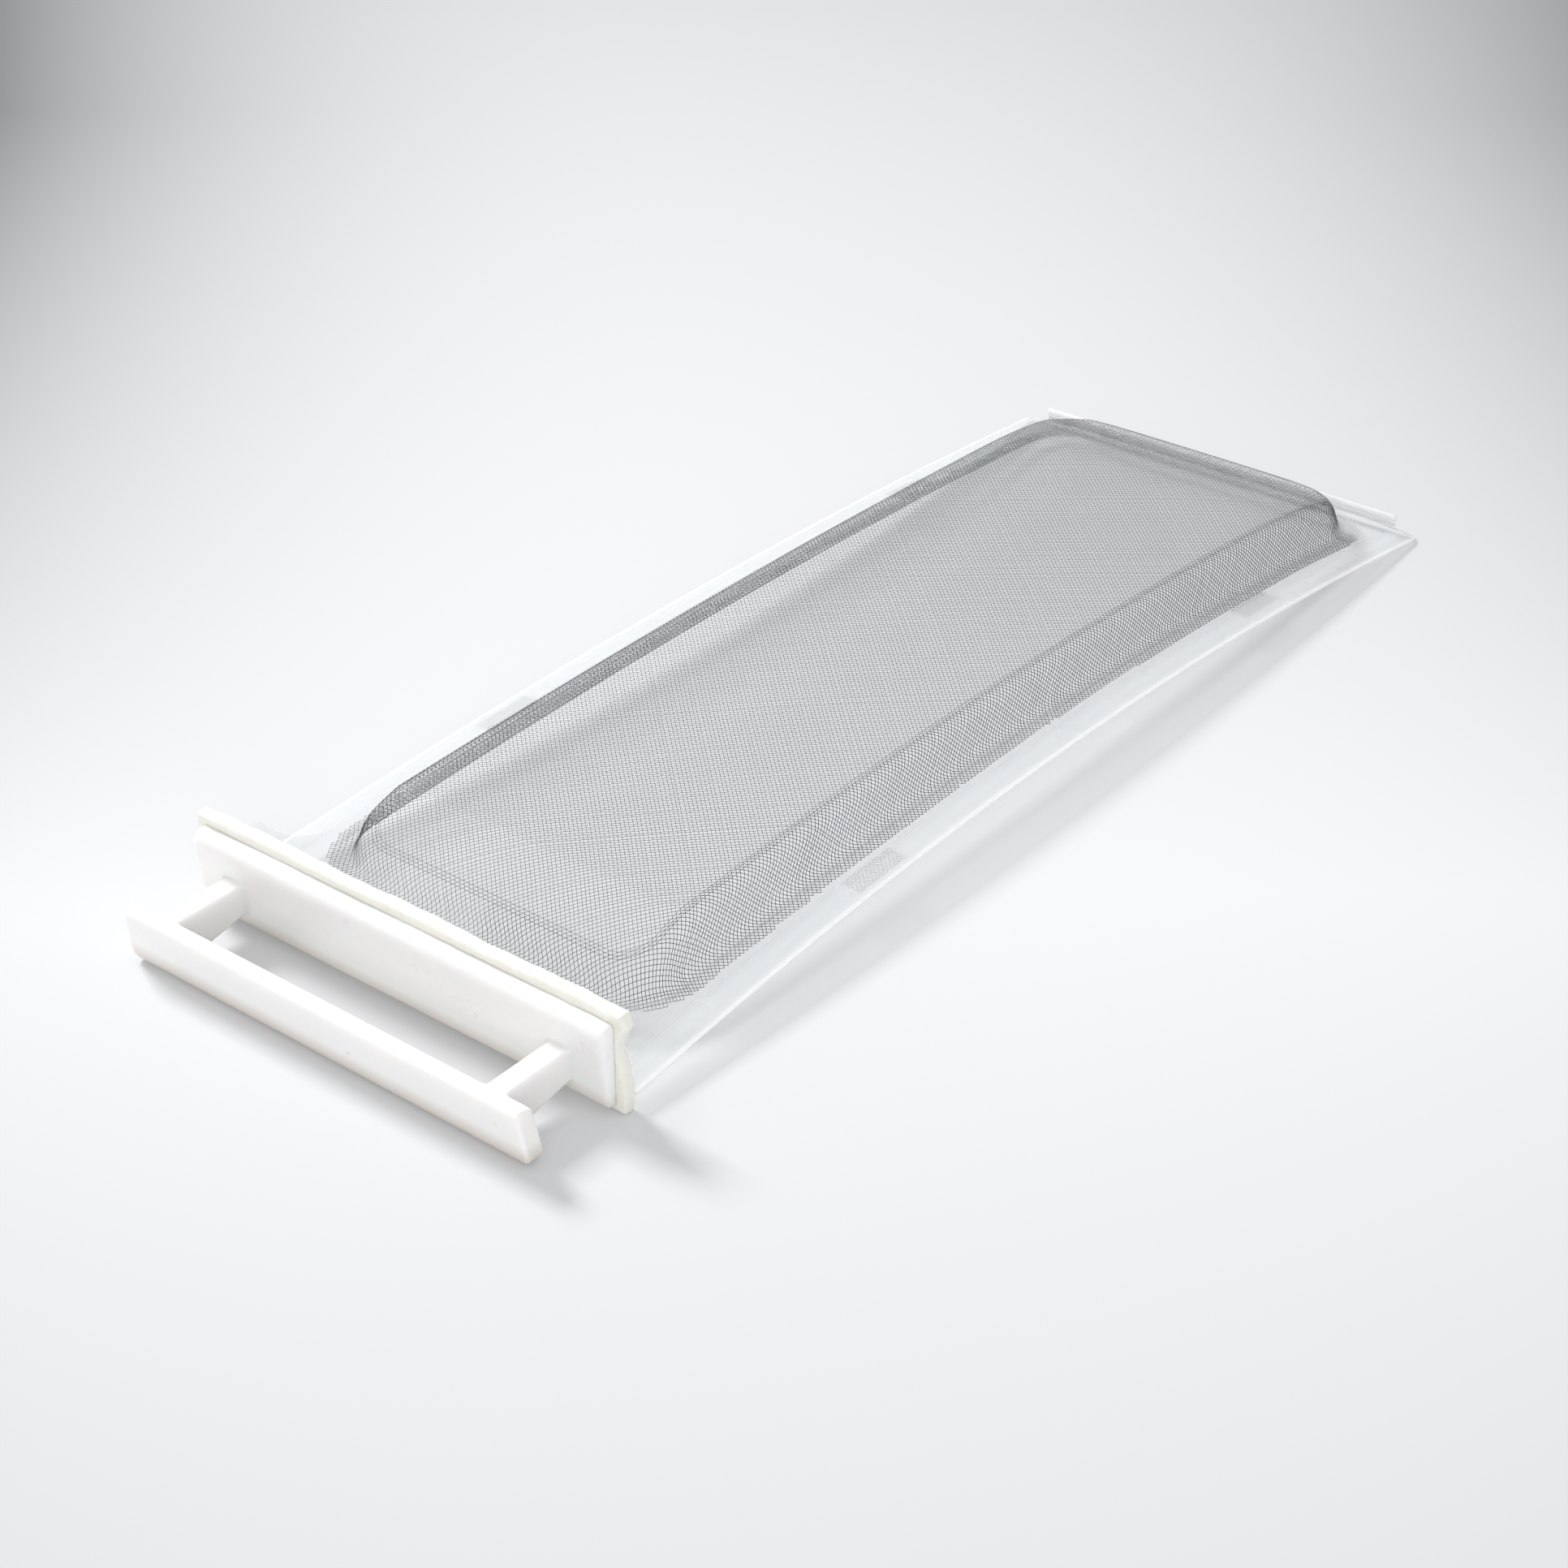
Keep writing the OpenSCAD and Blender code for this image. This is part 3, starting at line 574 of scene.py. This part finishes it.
def drawn_wire_tree():
    build = NodeTree("Drawn wire")
    radius = build.size("Wire radius")
    sides = build.size("Sides", "NodeSocketInt")
    paths = build.add("GeometryNodeMeshToCurve", {"Mesh": build.source.outputs["Geometry"]})
    ring = build.add("GeometryNodeCurvePrimitiveCircle", {"Resolution": sides, "Radius": radius})
    thick = build.add("GeometryNodeInputNamedAttribute", None, {"Name": "thickness"}, data_type="FLOAT")
    tube = build.add("GeometryNodeCurveToMesh", {"Curve": paths.outputs[0], "Profile Curve": ring.outputs[0],
                                                 "Scale": thick.outputs["Attribute"]}, {"Fill Caps": True})
    soft = build.add("GeometryNodeSetShadeSmooth", {"Geometry": tube.outputs[0]})
    build.end(soft.outputs[0])
    return build


def drawn_wires(tree, name, points, edges, thickness, radius, material):
    piece = new_piece(name + "_paths", points, edges=edges)
    stored = piece.data.attributes.new("thickness", "FLOAT", "POINT")
    stored.data.foreach_set("value", np.broadcast_to(thickness, len(points)).astype(np.float32))
    return tree.apply(piece, name, Wire_radius=radius * MM, Sides=3, Finish=material)


def weave_cloth(material):
    at, normal, kept, over, thick = lattice()
    flat = at.reshape(-1, 3)
    tree = drawn_wire_tree()
    made = []
    middle = (FOOT_NEAR + FOOT_FAR) / 2
    for along_first, way in ((True, 1.0), (False, -1.0)):
        level = (at + normal * over * way * WEAVE_RISE).reshape(-1, 3)
        pairs = wire_runs(at, kept, along_first)
        half = flat[pairs].mean(axis=1)[:, 1] < middle
        for near in (True, False):
            chosen = pairs[half == near]
            used, again = np.unique(chosen, return_inverse=True)
            name = "wires_" + ("warp" if along_first else "weft") + ("_near" if near else "_far")
            made.append(drawn_wires(tree, name, level[used], again.reshape(-1, 2), thick.ravel()[used],
                                    WIRE_R, material))
    for name, (points, edges) in (("wire_tabs", tab_threads()), ("wire_creases", crease_lines())):
        made.append(drawn_wires(tree, name, points, edges, 1.0, THIN_WIRE_R, material))
    return made


# Frame of milky plastic
def inset_outline(inset, near, far, r_near, r_far, side_steps=150, arc_steps=14, end_steps=44):
    """Points round an outline that follows the frame's long edges."""
    def arc(cx, cy, r, start):
        turn = np.radians(start + 90 * np.arange(arc_steps + 1) / arc_steps)
        return np.stack([cx + r * np.cos(turn), cy + r * np.sin(turn)], axis=-1)

    side = near + r_near + (far - r_far - near - r_near) * np.arange(1, side_steps) / side_steps
    x_far = half_width(far - r_far) - inset - r_far
    x_near = half_width(near + r_near) - inset - r_near
    end = np.arange(1, end_steps) / end_steps
    parts = [
        np.stack([half_width(side) - inset, side], axis=-1),
        arc(x_far, far - r_far, r_far, 0),
        np.stack([x_far * (1 - 2 * end), np.full_like(end, far)], axis=-1),
        arc(-x_far, far - r_far, r_far, 90),
        np.stack([inset - half_width(side[::-1]), side[::-1]], axis=-1),
        arc(-x_near, near + r_near, r_near, 180),
        np.stack([x_near * (2 * end - 1), np.full_like(end, near)], axis=-1),
        arc(x_near, near + r_near, r_near, 270),
    ]
    return np.concatenate(parts)


def rim_outline(inset):
    return inset_outline(inset, 0.1 * inset, FRAME_LEN - 0.3 * inset, 1.5, 4)


def window_outline(out):
    return inset_outline(WINDOW_INSET - out, WINDOW_NEAR - out, WINDOW_FAR + out,
                         WINDOW_R + out, WINDOW_R + out)


def frame_rings():
    rims = [(0.35, 0), (0.1, 0.1), (0, 0.35), (0, 0.65), (0.1, 0.9), (0.35, 1.0), (1.6, 1.0),
            (2.4, 1.02), (3.0, 1.12), (3.6, 1.3), (4.2, 1.45), (4.9, 1.56), (5.7, 1.6), (6.6, 1.63),
            (7.6, 1.72), (8.8, 2.0), (10.0, 2.28), (11.0, 2.4)]
    edge = [(4.2, 2.4), (3, 2.4), (2, 2.4), (1.2, 2.4), (0.6, 2.38), (0.25, 2.28), (0.05, 2.05), (0, 1.7),
            (0, 0.7), (0.05, 0.35), (0.25, 0.12), (0.6, 0.02), (1.2, 0), (2, 0), (3, 0), (4.2, 0)]
    under = [(9.5, 0), (6.4, 0), (3.2, 0), (1.6, 0)]
    rings = [(rim_outline(inset), height) for inset, height in rims]
    rings += [(window_outline(out), height) for out, height in edge]
    rings += [(rim_outline(inset), height) for inset, height in under]
    return rings


def closed_rings(rings):
    points = []
    faces = []
    count = len(rings[0][0])
    for outline, height in rings:
        z = lower_face(outline[:, 0], outline[:, 1]) + height
        points.append(np.column_stack([outline, z]))
    total = len(rings)
    for k in range(total):
        a = k * count
        b = (k + 1) % total * count
        for m in range(count):
            n = (m + 1) % count
            faces.append((a + m, a + n, b + n, b + m))
    return np.concatenate(points), faces


def rounded_prism(name, outline, low_x, high_x, bevel=0.35):
    """An outline of y and z points given a width along X, with softened edges."""
    count = len(outline)
    points = [(x, y, z) for x in (low_x, high_x) for y, z in outline]
    faces = [tuple(range(count))[::-1], tuple(range(count, 2 * count))]
    faces += [(m, (m + 1) % count, count + (m + 1) % count, count + m) for m in range(count)]
    piece = new_piece(name, points, faces=faces)
    shape = bmesh.new()
    shape.from_mesh(piece.data)
    bmesh.ops.recalc_face_normals(shape, faces=shape.faces)
    sharp = [e for e in shape.edges if e.calc_face_angle(0) > math.radians(40)]
    bmesh.ops.bevel(shape, geom=sharp, offset=bevel * MM, segments=3, profile=0.5, affect="EDGES",
                    clamp_overlap=True)
    shape.to_mesh(piece.data)
    shape.free()
    return piece


def mould_fin(side):
    """A thin fin that runs from the seal's wall down to the flange on an arc."""
    y = np.linspace(WALL_NEAR, FIN_LEN, 40)
    foot = float(lower_face(FIN_X, FIN_LEN)) + 1.6
    low = lower_face(FIN_X, y) + 0.6
    top = np.minimum(foot + FIN_R - np.sqrt(FIN_R ** 2 - (FIN_LEN - y) ** 2), FIN_TOP)
    top = np.maximum(top, low + 0.6)
    levels = [low, np.minimum(low + 2.4, (low + top) / 2), np.maximum(top - 0.7, (low + top) / 2), top]
    loop = [(-FIN_HALF, z) for z in levels] + [(FIN_HALF, z) for z in levels[::-1]]
    points = [(FIN_X * side + x, y[k], z[k]) for k in range(len(y)) for x, z in loop]
    count = len(loop)
    faces = [tuple(range(count)), tuple(range(len(points) - count, len(points)))[::-1]]
    for k in range(len(y) - 1):
        for m in range(count):
            n = (m + 1) % count
            faces.append((k * count + m, k * count + n, (k + 1) * count + n, (k + 1) * count + m))
    piece = new_piece("fin", points, faces=faces)
    turned_outward(piece)
    return piece


def stepped_wall(near, far, low, high, first, last):
    """Outline of a standing wall with extra points below its top and above its foot."""
    levels = [low, first, last, high]
    return [(near, z) for z in levels] + [(far, z) for z in levels[::-1]]


def join_solids(body, others):
    for other in others:
        modifier = body.modifiers.new("join", "BOOLEAN")
        modifier.operation = "UNION"
        modifier.solver = "EXACT"
        modifier.object = other
    made = baked(body, "frame_body")
    for other in others:
        bpy.data.objects.remove(other)
    return made


def milk_and_highlight_share(at):
    """How milky the plastic is at each point: thick at its rim, clear where it stands up, with a painted
    highlight that whitens the rim and the far rib's crest.
    """
    depth, _, _ = depth_inside(at[:, 0], at[:, 1], WINDOW_INSET, WINDOW_NEAR, WINDOW_FAR, WINDOW_R)
    above = at[:, 2] - lower_face(at[:, 0], at[:, 1])
    ends = np.minimum(at[:, 1] + 3, FRAME_LEN - at[:, 1])
    edge = np.minimum(half_width(at[:, 1]) - np.abs(at[:, 0]), ends)
    milk_and_highlight = 0.3 + 0.1 * smooth_step(-depth / 1.5) + 0.1 * smooth_step((-depth - 4) / 2)
    for low_y, high_y in TABS:
        near_x = 1 - smooth_step((np.abs(np.abs(at[:, 0]) - TAB_X) - 4.5) / 1.5)
        near_y = 1 - smooth_step((np.abs(at[:, 1] - (low_y + high_y) / 2) - (high_y - low_y) / 2) / 2)
        milk_and_highlight -= 0.08 * near_x * near_y
    # Painted highlight: a bright, opaque line along the top of the outer rim, for light glowing at the
    # plastic's edge.
    milk_and_highlight += 0.45 * smooth_step((1.9 - edge) / 0.8) * smooth_step((above - 0.6) / 0.3)
    milk_and_highlight *= 1 - smooth_step((0.6 - above) / 0.3)
    near_left = smooth_step((40 - at[:, 1]) / 8) * smooth_step((68 - np.abs(at[:, 0])) / 2)
    milk_and_highlight -= 0.3 * near_left * (at[:, 0] < 0)
    standing = smooth_step((above - 2.0) / 0.3)
    # Painted highlight: above 5 mm the far rib's crest turns white and opaque.
    painted_crest_highlight = np.where(at[:, 1] > 400, smooth_step((above - 5.0) / 0.2), 0)
    milk_and_highlight = milk_and_highlight * (1 - standing) + standing * (0.07 + 0.93 * painted_crest_highlight)
    return np.clip(milk_and_highlight, 0, 1).astype(np.float32)


def mould_frame(material):
    points, faces = closed_rings(frame_rings())
    body = new_piece("frame_slab", points, faces=faces)
    turned_outward(body)
    low = float(lower_face(HALF_NEAR, 0)) + 0.3
    wall = rounded_prism("wall", stepped_wall(WALL_NEAR, WALL_FAR, low, WALL_TOP, low + 3, 27.6),
                         -WALL_HALF, WALL_HALF)
    fins = [mould_fin(side) for side in (-1, 1)]
    base = float(lower_face(0, 437))
    rib_sides = stepped_wall(RIB_NEAR, RIB_FAR, base + 0.5, base + RIB_RISE, base + 2.4, base + 4.9)
    rib = rounded_prism("rib", rib_sides, -RIB_HALF, RIB_HALF, 0.5)
    body = join_solids(body, [wall, *fins, rib])
    body.name = "milky_frame"
    count = len(body.data.vertices)
    at = np.zeros(count * 3)
    body.data.vertices.foreach_get("co", at)
    at = at.reshape(-1, 3) / MM + np.array([0, MID_Y, 0])
    stored = body.data.attributes.new("milk_and_highlight", "FLOAT", "POINT")
    stored.data.foreach_set("value", milk_and_highlight_share(at))
    give_material(body, material)
    smooth_shaded(body, 40)
    return body


# Handle with soft moulded edges; its three profiles are points of y and z
BAR_SIDES = [(-40.5, 19.9), (-33.9, 18.4), (-30.8, 0), (-37.4, 0)]
BAR_HALF = 78.3
PLATE_SIDES = [(-10.6, 31.4), (-3.9, 29.5), (-3.9, 2.4), (-7.3, 2.4)]
PLATE_HALF = 80.4
POST_SIDES = [(-36.0, 18.35), (-6.5, 18.35), (-6.5, 8.2), (-36.0, 2.6)]
POST_HALF = 3.8
POST_X = 64.2
BAR_FOOT_R = 4.6
ARC_STEPS = 7


def rounded_loop(corners, radii, splits, inset):
    """A rounded polygon set in by a distance, with the same count of points at any distance."""
    count = len(corners)
    corners = np.array(corners, dtype=float)
    area = sum(corners[k - 1][0] * corners[k][1] - corners[k][0] * corners[k - 1][1] for k in range(count))
    way = np.sign(area)
    ahead = np.roll(corners, -1, axis=0) - corners
    ahead /= np.linalg.norm(ahead, axis=1, keepdims=True)
    inward = np.stack([-ahead[:, 1], ahead[:, 0]], axis=-1) * way
    loop = []
    for k in range(count):
        before = inward[k - 1]
        after = inward[k]
        half = math.acos(np.clip(np.dot(before, after), -1, 1)) / 2
        middle = (before + after) / np.linalg.norm(before + after)
        radius = max(radii[k] - inset, 0.03)
        centre = corners[k] + middle * (inset + radius) / math.cos(half)
        turn = math.atan2(-before[1], -before[0])
        for step in range(ARC_STEPS + 1):
            angle = turn + way * 2 * half * step / ARC_STEPS
            loop.append(centre + radius * np.array([math.cos(angle), math.sin(angle)]))
    out = []
    for k in range(count):
        arc = loop[k * (ARC_STEPS + 1):(k + 1) * (ARC_STEPS + 1)]
        start = loop[(k + 1) % count * (ARC_STEPS + 1)]
        out += arc
        out += [arc[-1] + (start - arc[-1]) * n / splits[k] for n in range(1, splits[k])]
    return np.array(out)


def soft_bar(name, corners, radii, splits, half, end_r, shape=None):
    """A rounded profile of y and z drawn along X, with its ends rounded as well."""
    turn = np.radians(90 * np.arange(8) / 7)
    insets = end_r * (1 - np.sin(turn))
    stations = half - end_r + end_r * np.cos(turn)
    across = list(zip(-stations, insets))
    across += [(x, 0) for x in np.linspace(end_r - half, half - end_r, 41)[1:-1]]
    across += list(zip(stations[::-1], insets[::-1]))
    points = []
    for x, inset in across:
        loop = rounded_loop(corners, radii, splits, inset)
        points.append(np.column_stack([np.full(len(loop), x), loop]))
    count = len(points[0])
    points = np.concatenate(points)
    if shape:
        points = shape(points)
    faces = [tuple(range(count)), tuple(range(len(points) - count, len(points)))[::-1]]
    for k in range(len(across) - 1):
        for m in range(count):
            n = (m + 1) % count
            faces.append((k * count + m, k * count + n, (k + 1) * count + n, (k + 1) * count + m))
    piece = new_piece(name, points, faces=faces)
    turned_outward(piece)
    return piece


def turned_outward(piece):
    shape = bmesh.new()
    shape.from_mesh(piece.data)
    bmesh.ops.recalc_face_normals(shape, faces=shape.faces)
    shape.to_mesh(piece.data)
    shape.free()


def round_low_corners(points):
    """The bar's two ends, wider towards the foot and rounded at it, seen from the front."""
    low = np.clip(BAR_FOOT_R - points[:, 2], 0, BAR_FOOT_R)
    cut = BAR_FOOT_R - np.sqrt(BAR_FOOT_R ** 2 - low ** 2)
    spread = 0.8 - points[:, 2] * 0.09
    points[:, 0] += np.sign(points[:, 0]) * (spread - cut) * (np.abs(points[:, 0]) > 70)
    return points


def mould_handle(material):
    bar = soft_bar("bar", BAR_SIDES, [2, 1.4, 2.4, 3.2], [3, 8, 3, 8], BAR_HALF, 0.8, round_low_corners)
    plate = soft_bar("plate", PLATE_SIDES, [4.4, 0.4, 0.6, 1.0], [2, 10, 2, 10], PLATE_HALF, 1.2)
    posts = []
    for side in (-1, 1):
        post = soft_bar("post", POST_SIDES, [0.3, 0.3, 0.3, 0.3], [6, 3, 6, 3], POST_HALF, 0.8)
        post.data.transform(Matrix.Translation((POST_X * side * MM, 0, 0)))
        posts.append(post)
    piece = join_solids(bar, [plate, *posts])
    remesh = piece.modifiers.new("even skin", "REMESH")
    remesh.mode = "VOXEL"
    remesh.voxel_size = 0.6 * MM
    remesh.use_smooth_shade = True
    soft = piece.modifiers.new("soft edges", "SMOOTH")
    soft.factor = 0.5
    soft.iterations = 7
    piece = baked(piece, "moulded_handle")
    give_material(piece, material)
    piece.data.polygons.foreach_set("use_smooth", [True] * len(piece.data.polygons))
    return piece


# Felt seal with soft wavy edges and loose fibres
FELT_W = 166.8
FELT_T = 4.5
FELT_LOW = 0.2
FELT_HIGH = 33.0
FELT_EDGE_R = 0.9


def ripple(a, b, seed):
    """A slow uneven wave over two coordinates, the same for the same seed."""
    rng = np.random.default_rng(seed)
    total = np.zeros(np.broadcast(a, b).shape)
    for k in range(7):
        turn = rng.uniform(0, 2 * math.pi)
        size = rng.uniform(0.25, 1.6)
        wave = size * (a * math.cos(turn) + b * math.sin(turn)) + rng.uniform(0, 6.28)
        total += np.sin(wave) / (1 + k * 0.4)
    return total / 3


def felt_block():
    """The seal as a front and a rear grid, joined by rings that round its edge."""
    half = FELT_W / 2
    low = FELT_LOW
    high = FELT_HIGH
    nx = 240
    nz = 48
    ny = 8
    u = np.linspace(-1, 1, nx)
    w = np.linspace(-1, 1, nz)
    grid_u, grid_w = np.meshgrid(u, w, indexing="ij")

    def place(gu, gw, through):
        x = gu * half
        z = (low + high) / 2 + gw * (high - low) / 2
        end = smooth_step((np.abs(gu) - 0.93) / 0.07)
        flare = 1.5 * np.exp(-((z - 30) / 4) ** 2) - 2.0 * np.exp(-((z - 21) / 4.5) ** 2)
        flare = flare + 1.2 * np.exp(-((z - 6) / 6) ** 2) - 0.9
        x = x + np.sign(gu) * end * (flare - 1.0 * (1 - np.cos(np.clip((z - 29) / 4, 0, 1) * 1.3)))
        free = smooth_step((z - 29) / 3)
        swell = 0.25 * free
        top = smooth_step((gw - 0.9) / 0.1)
        z = z + top * 0.35 * ripple(x, z * 0, 5)
        y = -FELT_T / 2 + through * (FELT_T / 2 + swell) + 0.25 * free * np.sin(x / 9 + 1)
        lean = 0.12 * ripple(x, z, 3)
        if through > 0:
            lean = -np.abs(lean)
        return np.stack([x, y + lean * through, z], axis=-1)

    count = nx * nz
    steps = np.linspace(-1, 1, ny)
    shells = []
    for t in steps:
        curve = 1 - np.sqrt(max(0.0, 1 - abs(t) ** 4)) if abs(t) < 1 else 1.0
        shrink_x = 1 - FELT_EDGE_R * curve / half
        shrink_z = 1 - FELT_EDGE_R * curve / ((high - low) / 2)
        shells.append(place(grid_u * shrink_x, grid_w * shrink_z, t))
    front = shells[0].reshape(-1, 3)
    rear = shells[-1].reshape(-1, 3)
    points = [front, rear]
    faces = []
    index = np.arange(count).reshape(nx, nz)
    for a in range(nx - 1):
        for b in range(nz - 1):
            faces.append((index[a, b], index[a + 1, b], index[a + 1, b + 1], index[a, b + 1]))
            faces.append((count + index[a, b], count + index[a, b + 1],
                          count + index[a + 1, b + 1], count + index[a + 1, b]))
    border = [(a, 0) for a in range(nx)] + [(nx - 1, b) for b in range(1, nz)]
    border += [(a, nz - 1) for a in range(nx - 2, -1, -1)] + [(0, b) for b in range(nz - 2, 0, -1)]
    rings = [[index[a, b] for a, b in border]]
    start = 2 * count
    for k in range(1, ny - 1):
        ring = np.array([shells[k][a, b] for a, b in border])
        points.append(ring)
        rings.append(list(range(start, start + len(border))))
        start += len(border)
    rings.append([count + index[a, b] for a, b in border])
    total = len(border)
    for first, second in zip(rings[:-1], rings[1:]):
        for m in range(total):
            n = (m + 1) % total
            faces.append((first[n], first[m], second[m], second[n]))
    faces = [tuple(int(i) for i in f) for f in faces]
    return new_piece("felt_block", np.concatenate(points), faces=faces)


def fuzz_tree():
    """Loose fibres on every face that stands clear of the floor."""
    build = NodeTree("Loose felt fibres")
    density = build.size("Fibres per square metre")
    length = build.size("Fibre length")
    thick = build.size("Fibre radius")
    seed = build.size("Seed", "NodeSocketInt")
    skin = build.source.outputs["Geometry"]
    place = build.add("GeometryNodeInputPosition")
    height = build.add("ShaderNodeSeparateXYZ", {"Vector": place.outputs[0]})
    clear = build.add("ShaderNodeMath", {0: height.outputs["Z"]}, {1: 0.0019}, operation="GREATER_THAN")
    spots = build.add("GeometryNodeDistributePointsOnFaces",
                      {"Mesh": skin, "Density": density, "Seed": seed, "Selection": clear.outputs[0]})
    tip = build.add("ShaderNodeMath", {0: thick}, {1: 0.3}, operation="MULTIPLY")
    fibre = build.add("GeometryNodeMeshCone",
                      {"Depth": length, "Radius Bottom": thick, "Radius Top": tip.outputs[0]},
                      {"Vertices": 3, "Side Segments": 3})
    lean = build.add("FunctionNodeRandomValue", {"Seed": seed},
                     {"Min": (-1.1, -1.1, 0), "Max": (1.1, 1.1, 6.28)}, data_type="FLOAT_VECTOR")
    turned = build.add("FunctionNodeRotateRotation", {"Rotation": spots.outputs["Rotation"],
                                                      "Rotate By": lean.outputs[0]}, rotation_space="LOCAL")
    scale = build.add("FunctionNodeRandomValue", {"Seed": seed},
                      {"Min": (0.8, 0.8, 0.4), "Max": (1.2, 1.2, 1.3)}, data_type="FLOAT_VECTOR")
    placed = build.add("GeometryNodeInstanceOnPoints",
                       {"Points": spots.outputs[0], "Instance": fibre.outputs[0],
                        "Rotation": turned.outputs[0], "Scale": scale.outputs[0]})
    loose = build.add("GeometryNodeRealizeInstances", {"Geometry": placed.outputs[0]})
    curl = build.add("ShaderNodeTexNoise", None, {"Scale": 700.0, "Detail": 1.0}, noise_dimensions="3D")
    centred = build.add("ShaderNodeVectorMath", {0: curl.outputs["Color"]}, {1: (0.5, 0.5, 0.5)},
                        operation="SUBTRACT")
    reach = build.add("ShaderNodeVectorMath", {0: centred.outputs[0], "Scale": length}, None,
                      operation="SCALE")
    bent = build.add("GeometryNodeSetPosition", {"Geometry": loose.outputs[0], "Offset": reach.outputs[0]})
    both = build.add("GeometryNodeJoinGeometry")
    build.tree.links.new(skin, both.inputs[0])
    build.tree.links.new(bent.outputs[0], both.inputs[0])
    soft = build.add("GeometryNodeSetShadeSmooth", {"Geometry": both.outputs[0]})
    build.end(soft.outputs[0])
    return build


def lay_felt(material):
    block = felt_block()
    turned_outward(block)
    return fuzz_tree().apply(block, "needled_felt", Fibres_per_square_metre=480000.0, Fibre_length=0.0011,
                             Fibre_radius=0.00003, Seed=4, Finish=material)


# Floor and light
def dotted(tree, place, way):
    node = tree.nodes.new("ShaderNodeVectorMath")
    node.operation = "DOT_PRODUCT"
    node.inputs[1].default_value = way
    tree.links.new(place, node.inputs[0])
    return node.outputs["Value"]


FLOOR_DARKEST = 0.65


def lay_floor():
    """White paper with painted shade: its tone darkens to grey away from the part and towards the corners.
    """
    made, tree, shader, place = new_material("white paper")
    tree.nodes.remove(shader)
    out = tree.nodes["Material Output"]
    paper = tree.nodes.new("ShaderNodeBsdfDiffuse")
    glow = tree.nodes.new("ShaderNodeEmission")
    seen = tree.nodes.new("ShaderNodeLightPath")
    either = reckoned(tree, "MAXIMUM", seen.outputs["Is Camera Ray"], seen.outputs["Is Transmission Ray"])
    through = reckoned(tree, "MULTIPLY", either, 0.2)
    across = dotted(tree, place, (0.783, 0.622, 0))
    ahead = dotted(tree, place, (-0.622, 0.783, 0))
    wide = reckoned(tree, "ADD", reckoned(tree, "MULTIPLY", ahead, 0.2), 0.252)
    wide = reckoned(tree, "MAXIMUM", wide, 0.12)
    aside = reckoned(tree, "DIVIDE", reckoned(tree, "ADD", across, -0.015), wide)
    aside = reckoned(tree, "POWER", reckoned(tree, "ABSOLUTE", aside, 0), 2.7)
    dim = reckoned(tree, "MULTIPLY", aside, ranged(tree, ahead, 0.03, 0.44, -0.12, 0.62))
    dim = reckoned(tree, "MINIMUM", dim, FLOOR_DARKEST)
    lit = tree.nodes.new("ShaderNodeValToRGB")
    lit.color_ramp.elements[0].color = (0.69, 0.7, 0.715, 1)
    lit.color_ramp.elements[1].color = (0.55, 0.56, 0.57, 1)
    lit.color_ramp.elements.new(0.25).color = (0.79, 0.8, 0.815, 1)
    tree.links.new(ranged(tree, ahead, 0, 1, -0.4, 0.8), lit.inputs[0])
    tone = blended(tree, dim, lit.outputs["Color"], (0.0, 0.0, 0.0))
    tree.links.new(tone, paper.inputs["Color"])
    tree.links.new(tone, glow.inputs["Color"])
    mixed = tree.nodes.new("ShaderNodeMixShader")
    tree.links.new(through, mixed.inputs[0])
    tree.links.new(paper.outputs[0], mixed.inputs[1])
    tree.links.new(glow.outputs[0], mixed.inputs[2])
    tree.links.new(mixed.outputs[0], out.inputs["Surface"])
    floor = bpy.data.objects.new("floor", bpy.data.meshes.new("floor"))
    shape = bmesh.new()
    corners = [shape.verts.new((x, y, -0.0002)) for x, y in ((-8, -8), (8, -8), (8, 8), (-8, 8))]
    shape.faces.new(corners)
    shape.to_mesh(floor.data)
    shape.free()
    bpy.context.collection.objects.link(floor)
    floor.data.materials.append(made)


def set_light(name, at, target, size, power, size_y=None):
    lamp = bpy.data.lights.new(name, "AREA")
    lamp.energy = power
    lamp.shape = "RECTANGLE"
    lamp.size = size
    lamp.size_y = size_y or size
    holder = bpy.data.objects.new(name, lamp)
    holder.location = at
    holder.rotation_euler = (Vector(at) - Vector(target)).to_track_quat("Z", "Y").to_euler()
    bpy.context.collection.objects.link(holder)


def light_scene():
    world = bpy.data.worlds.new("studio")
    bpy.context.scene.world = world
    world.use_nodes = True
    tree = world.node_tree
    sky = tree.nodes["Background"]
    way = tree.nodes.new("ShaderNodeTexCoord")
    side = dotted(tree, way.outputs["Generated"], (-0.3, 0.75, 0.6))
    tree.links.new(ranged(tree, side, 0.58, 0.66, -0.8, 0.6), sky.inputs["Strength"])
    sky.inputs["Color"].default_value = (1.0, 1.0, 1.0, 1)
    set_light("key", (-2.2, 0.2, 1.95), (0, 0, 0), 0.8, 77)
    set_light("fill", (1.5, -2.1, 0.95), (0, 0, 0), 1.6, 17)
    view = bpy.context.scene.view_settings
    view.view_transform = "Standard"


lay_floor()
light_scene()

for wires in weave_cloth(wire_steel()):
    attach(wires, "root")
    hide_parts("screen")

plastic_frame = mould_frame(milky_plastic())
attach(plastic_frame, "root")
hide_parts("frame")

pull_handle = mould_handle(warm_plastic())
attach(pull_handle, "root")
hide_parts("handle")

felt = lay_felt(cream_felt())
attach(felt, "root")
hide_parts("felt_seal")

give_material(bpy.data.objects["screws"], plated_screw())
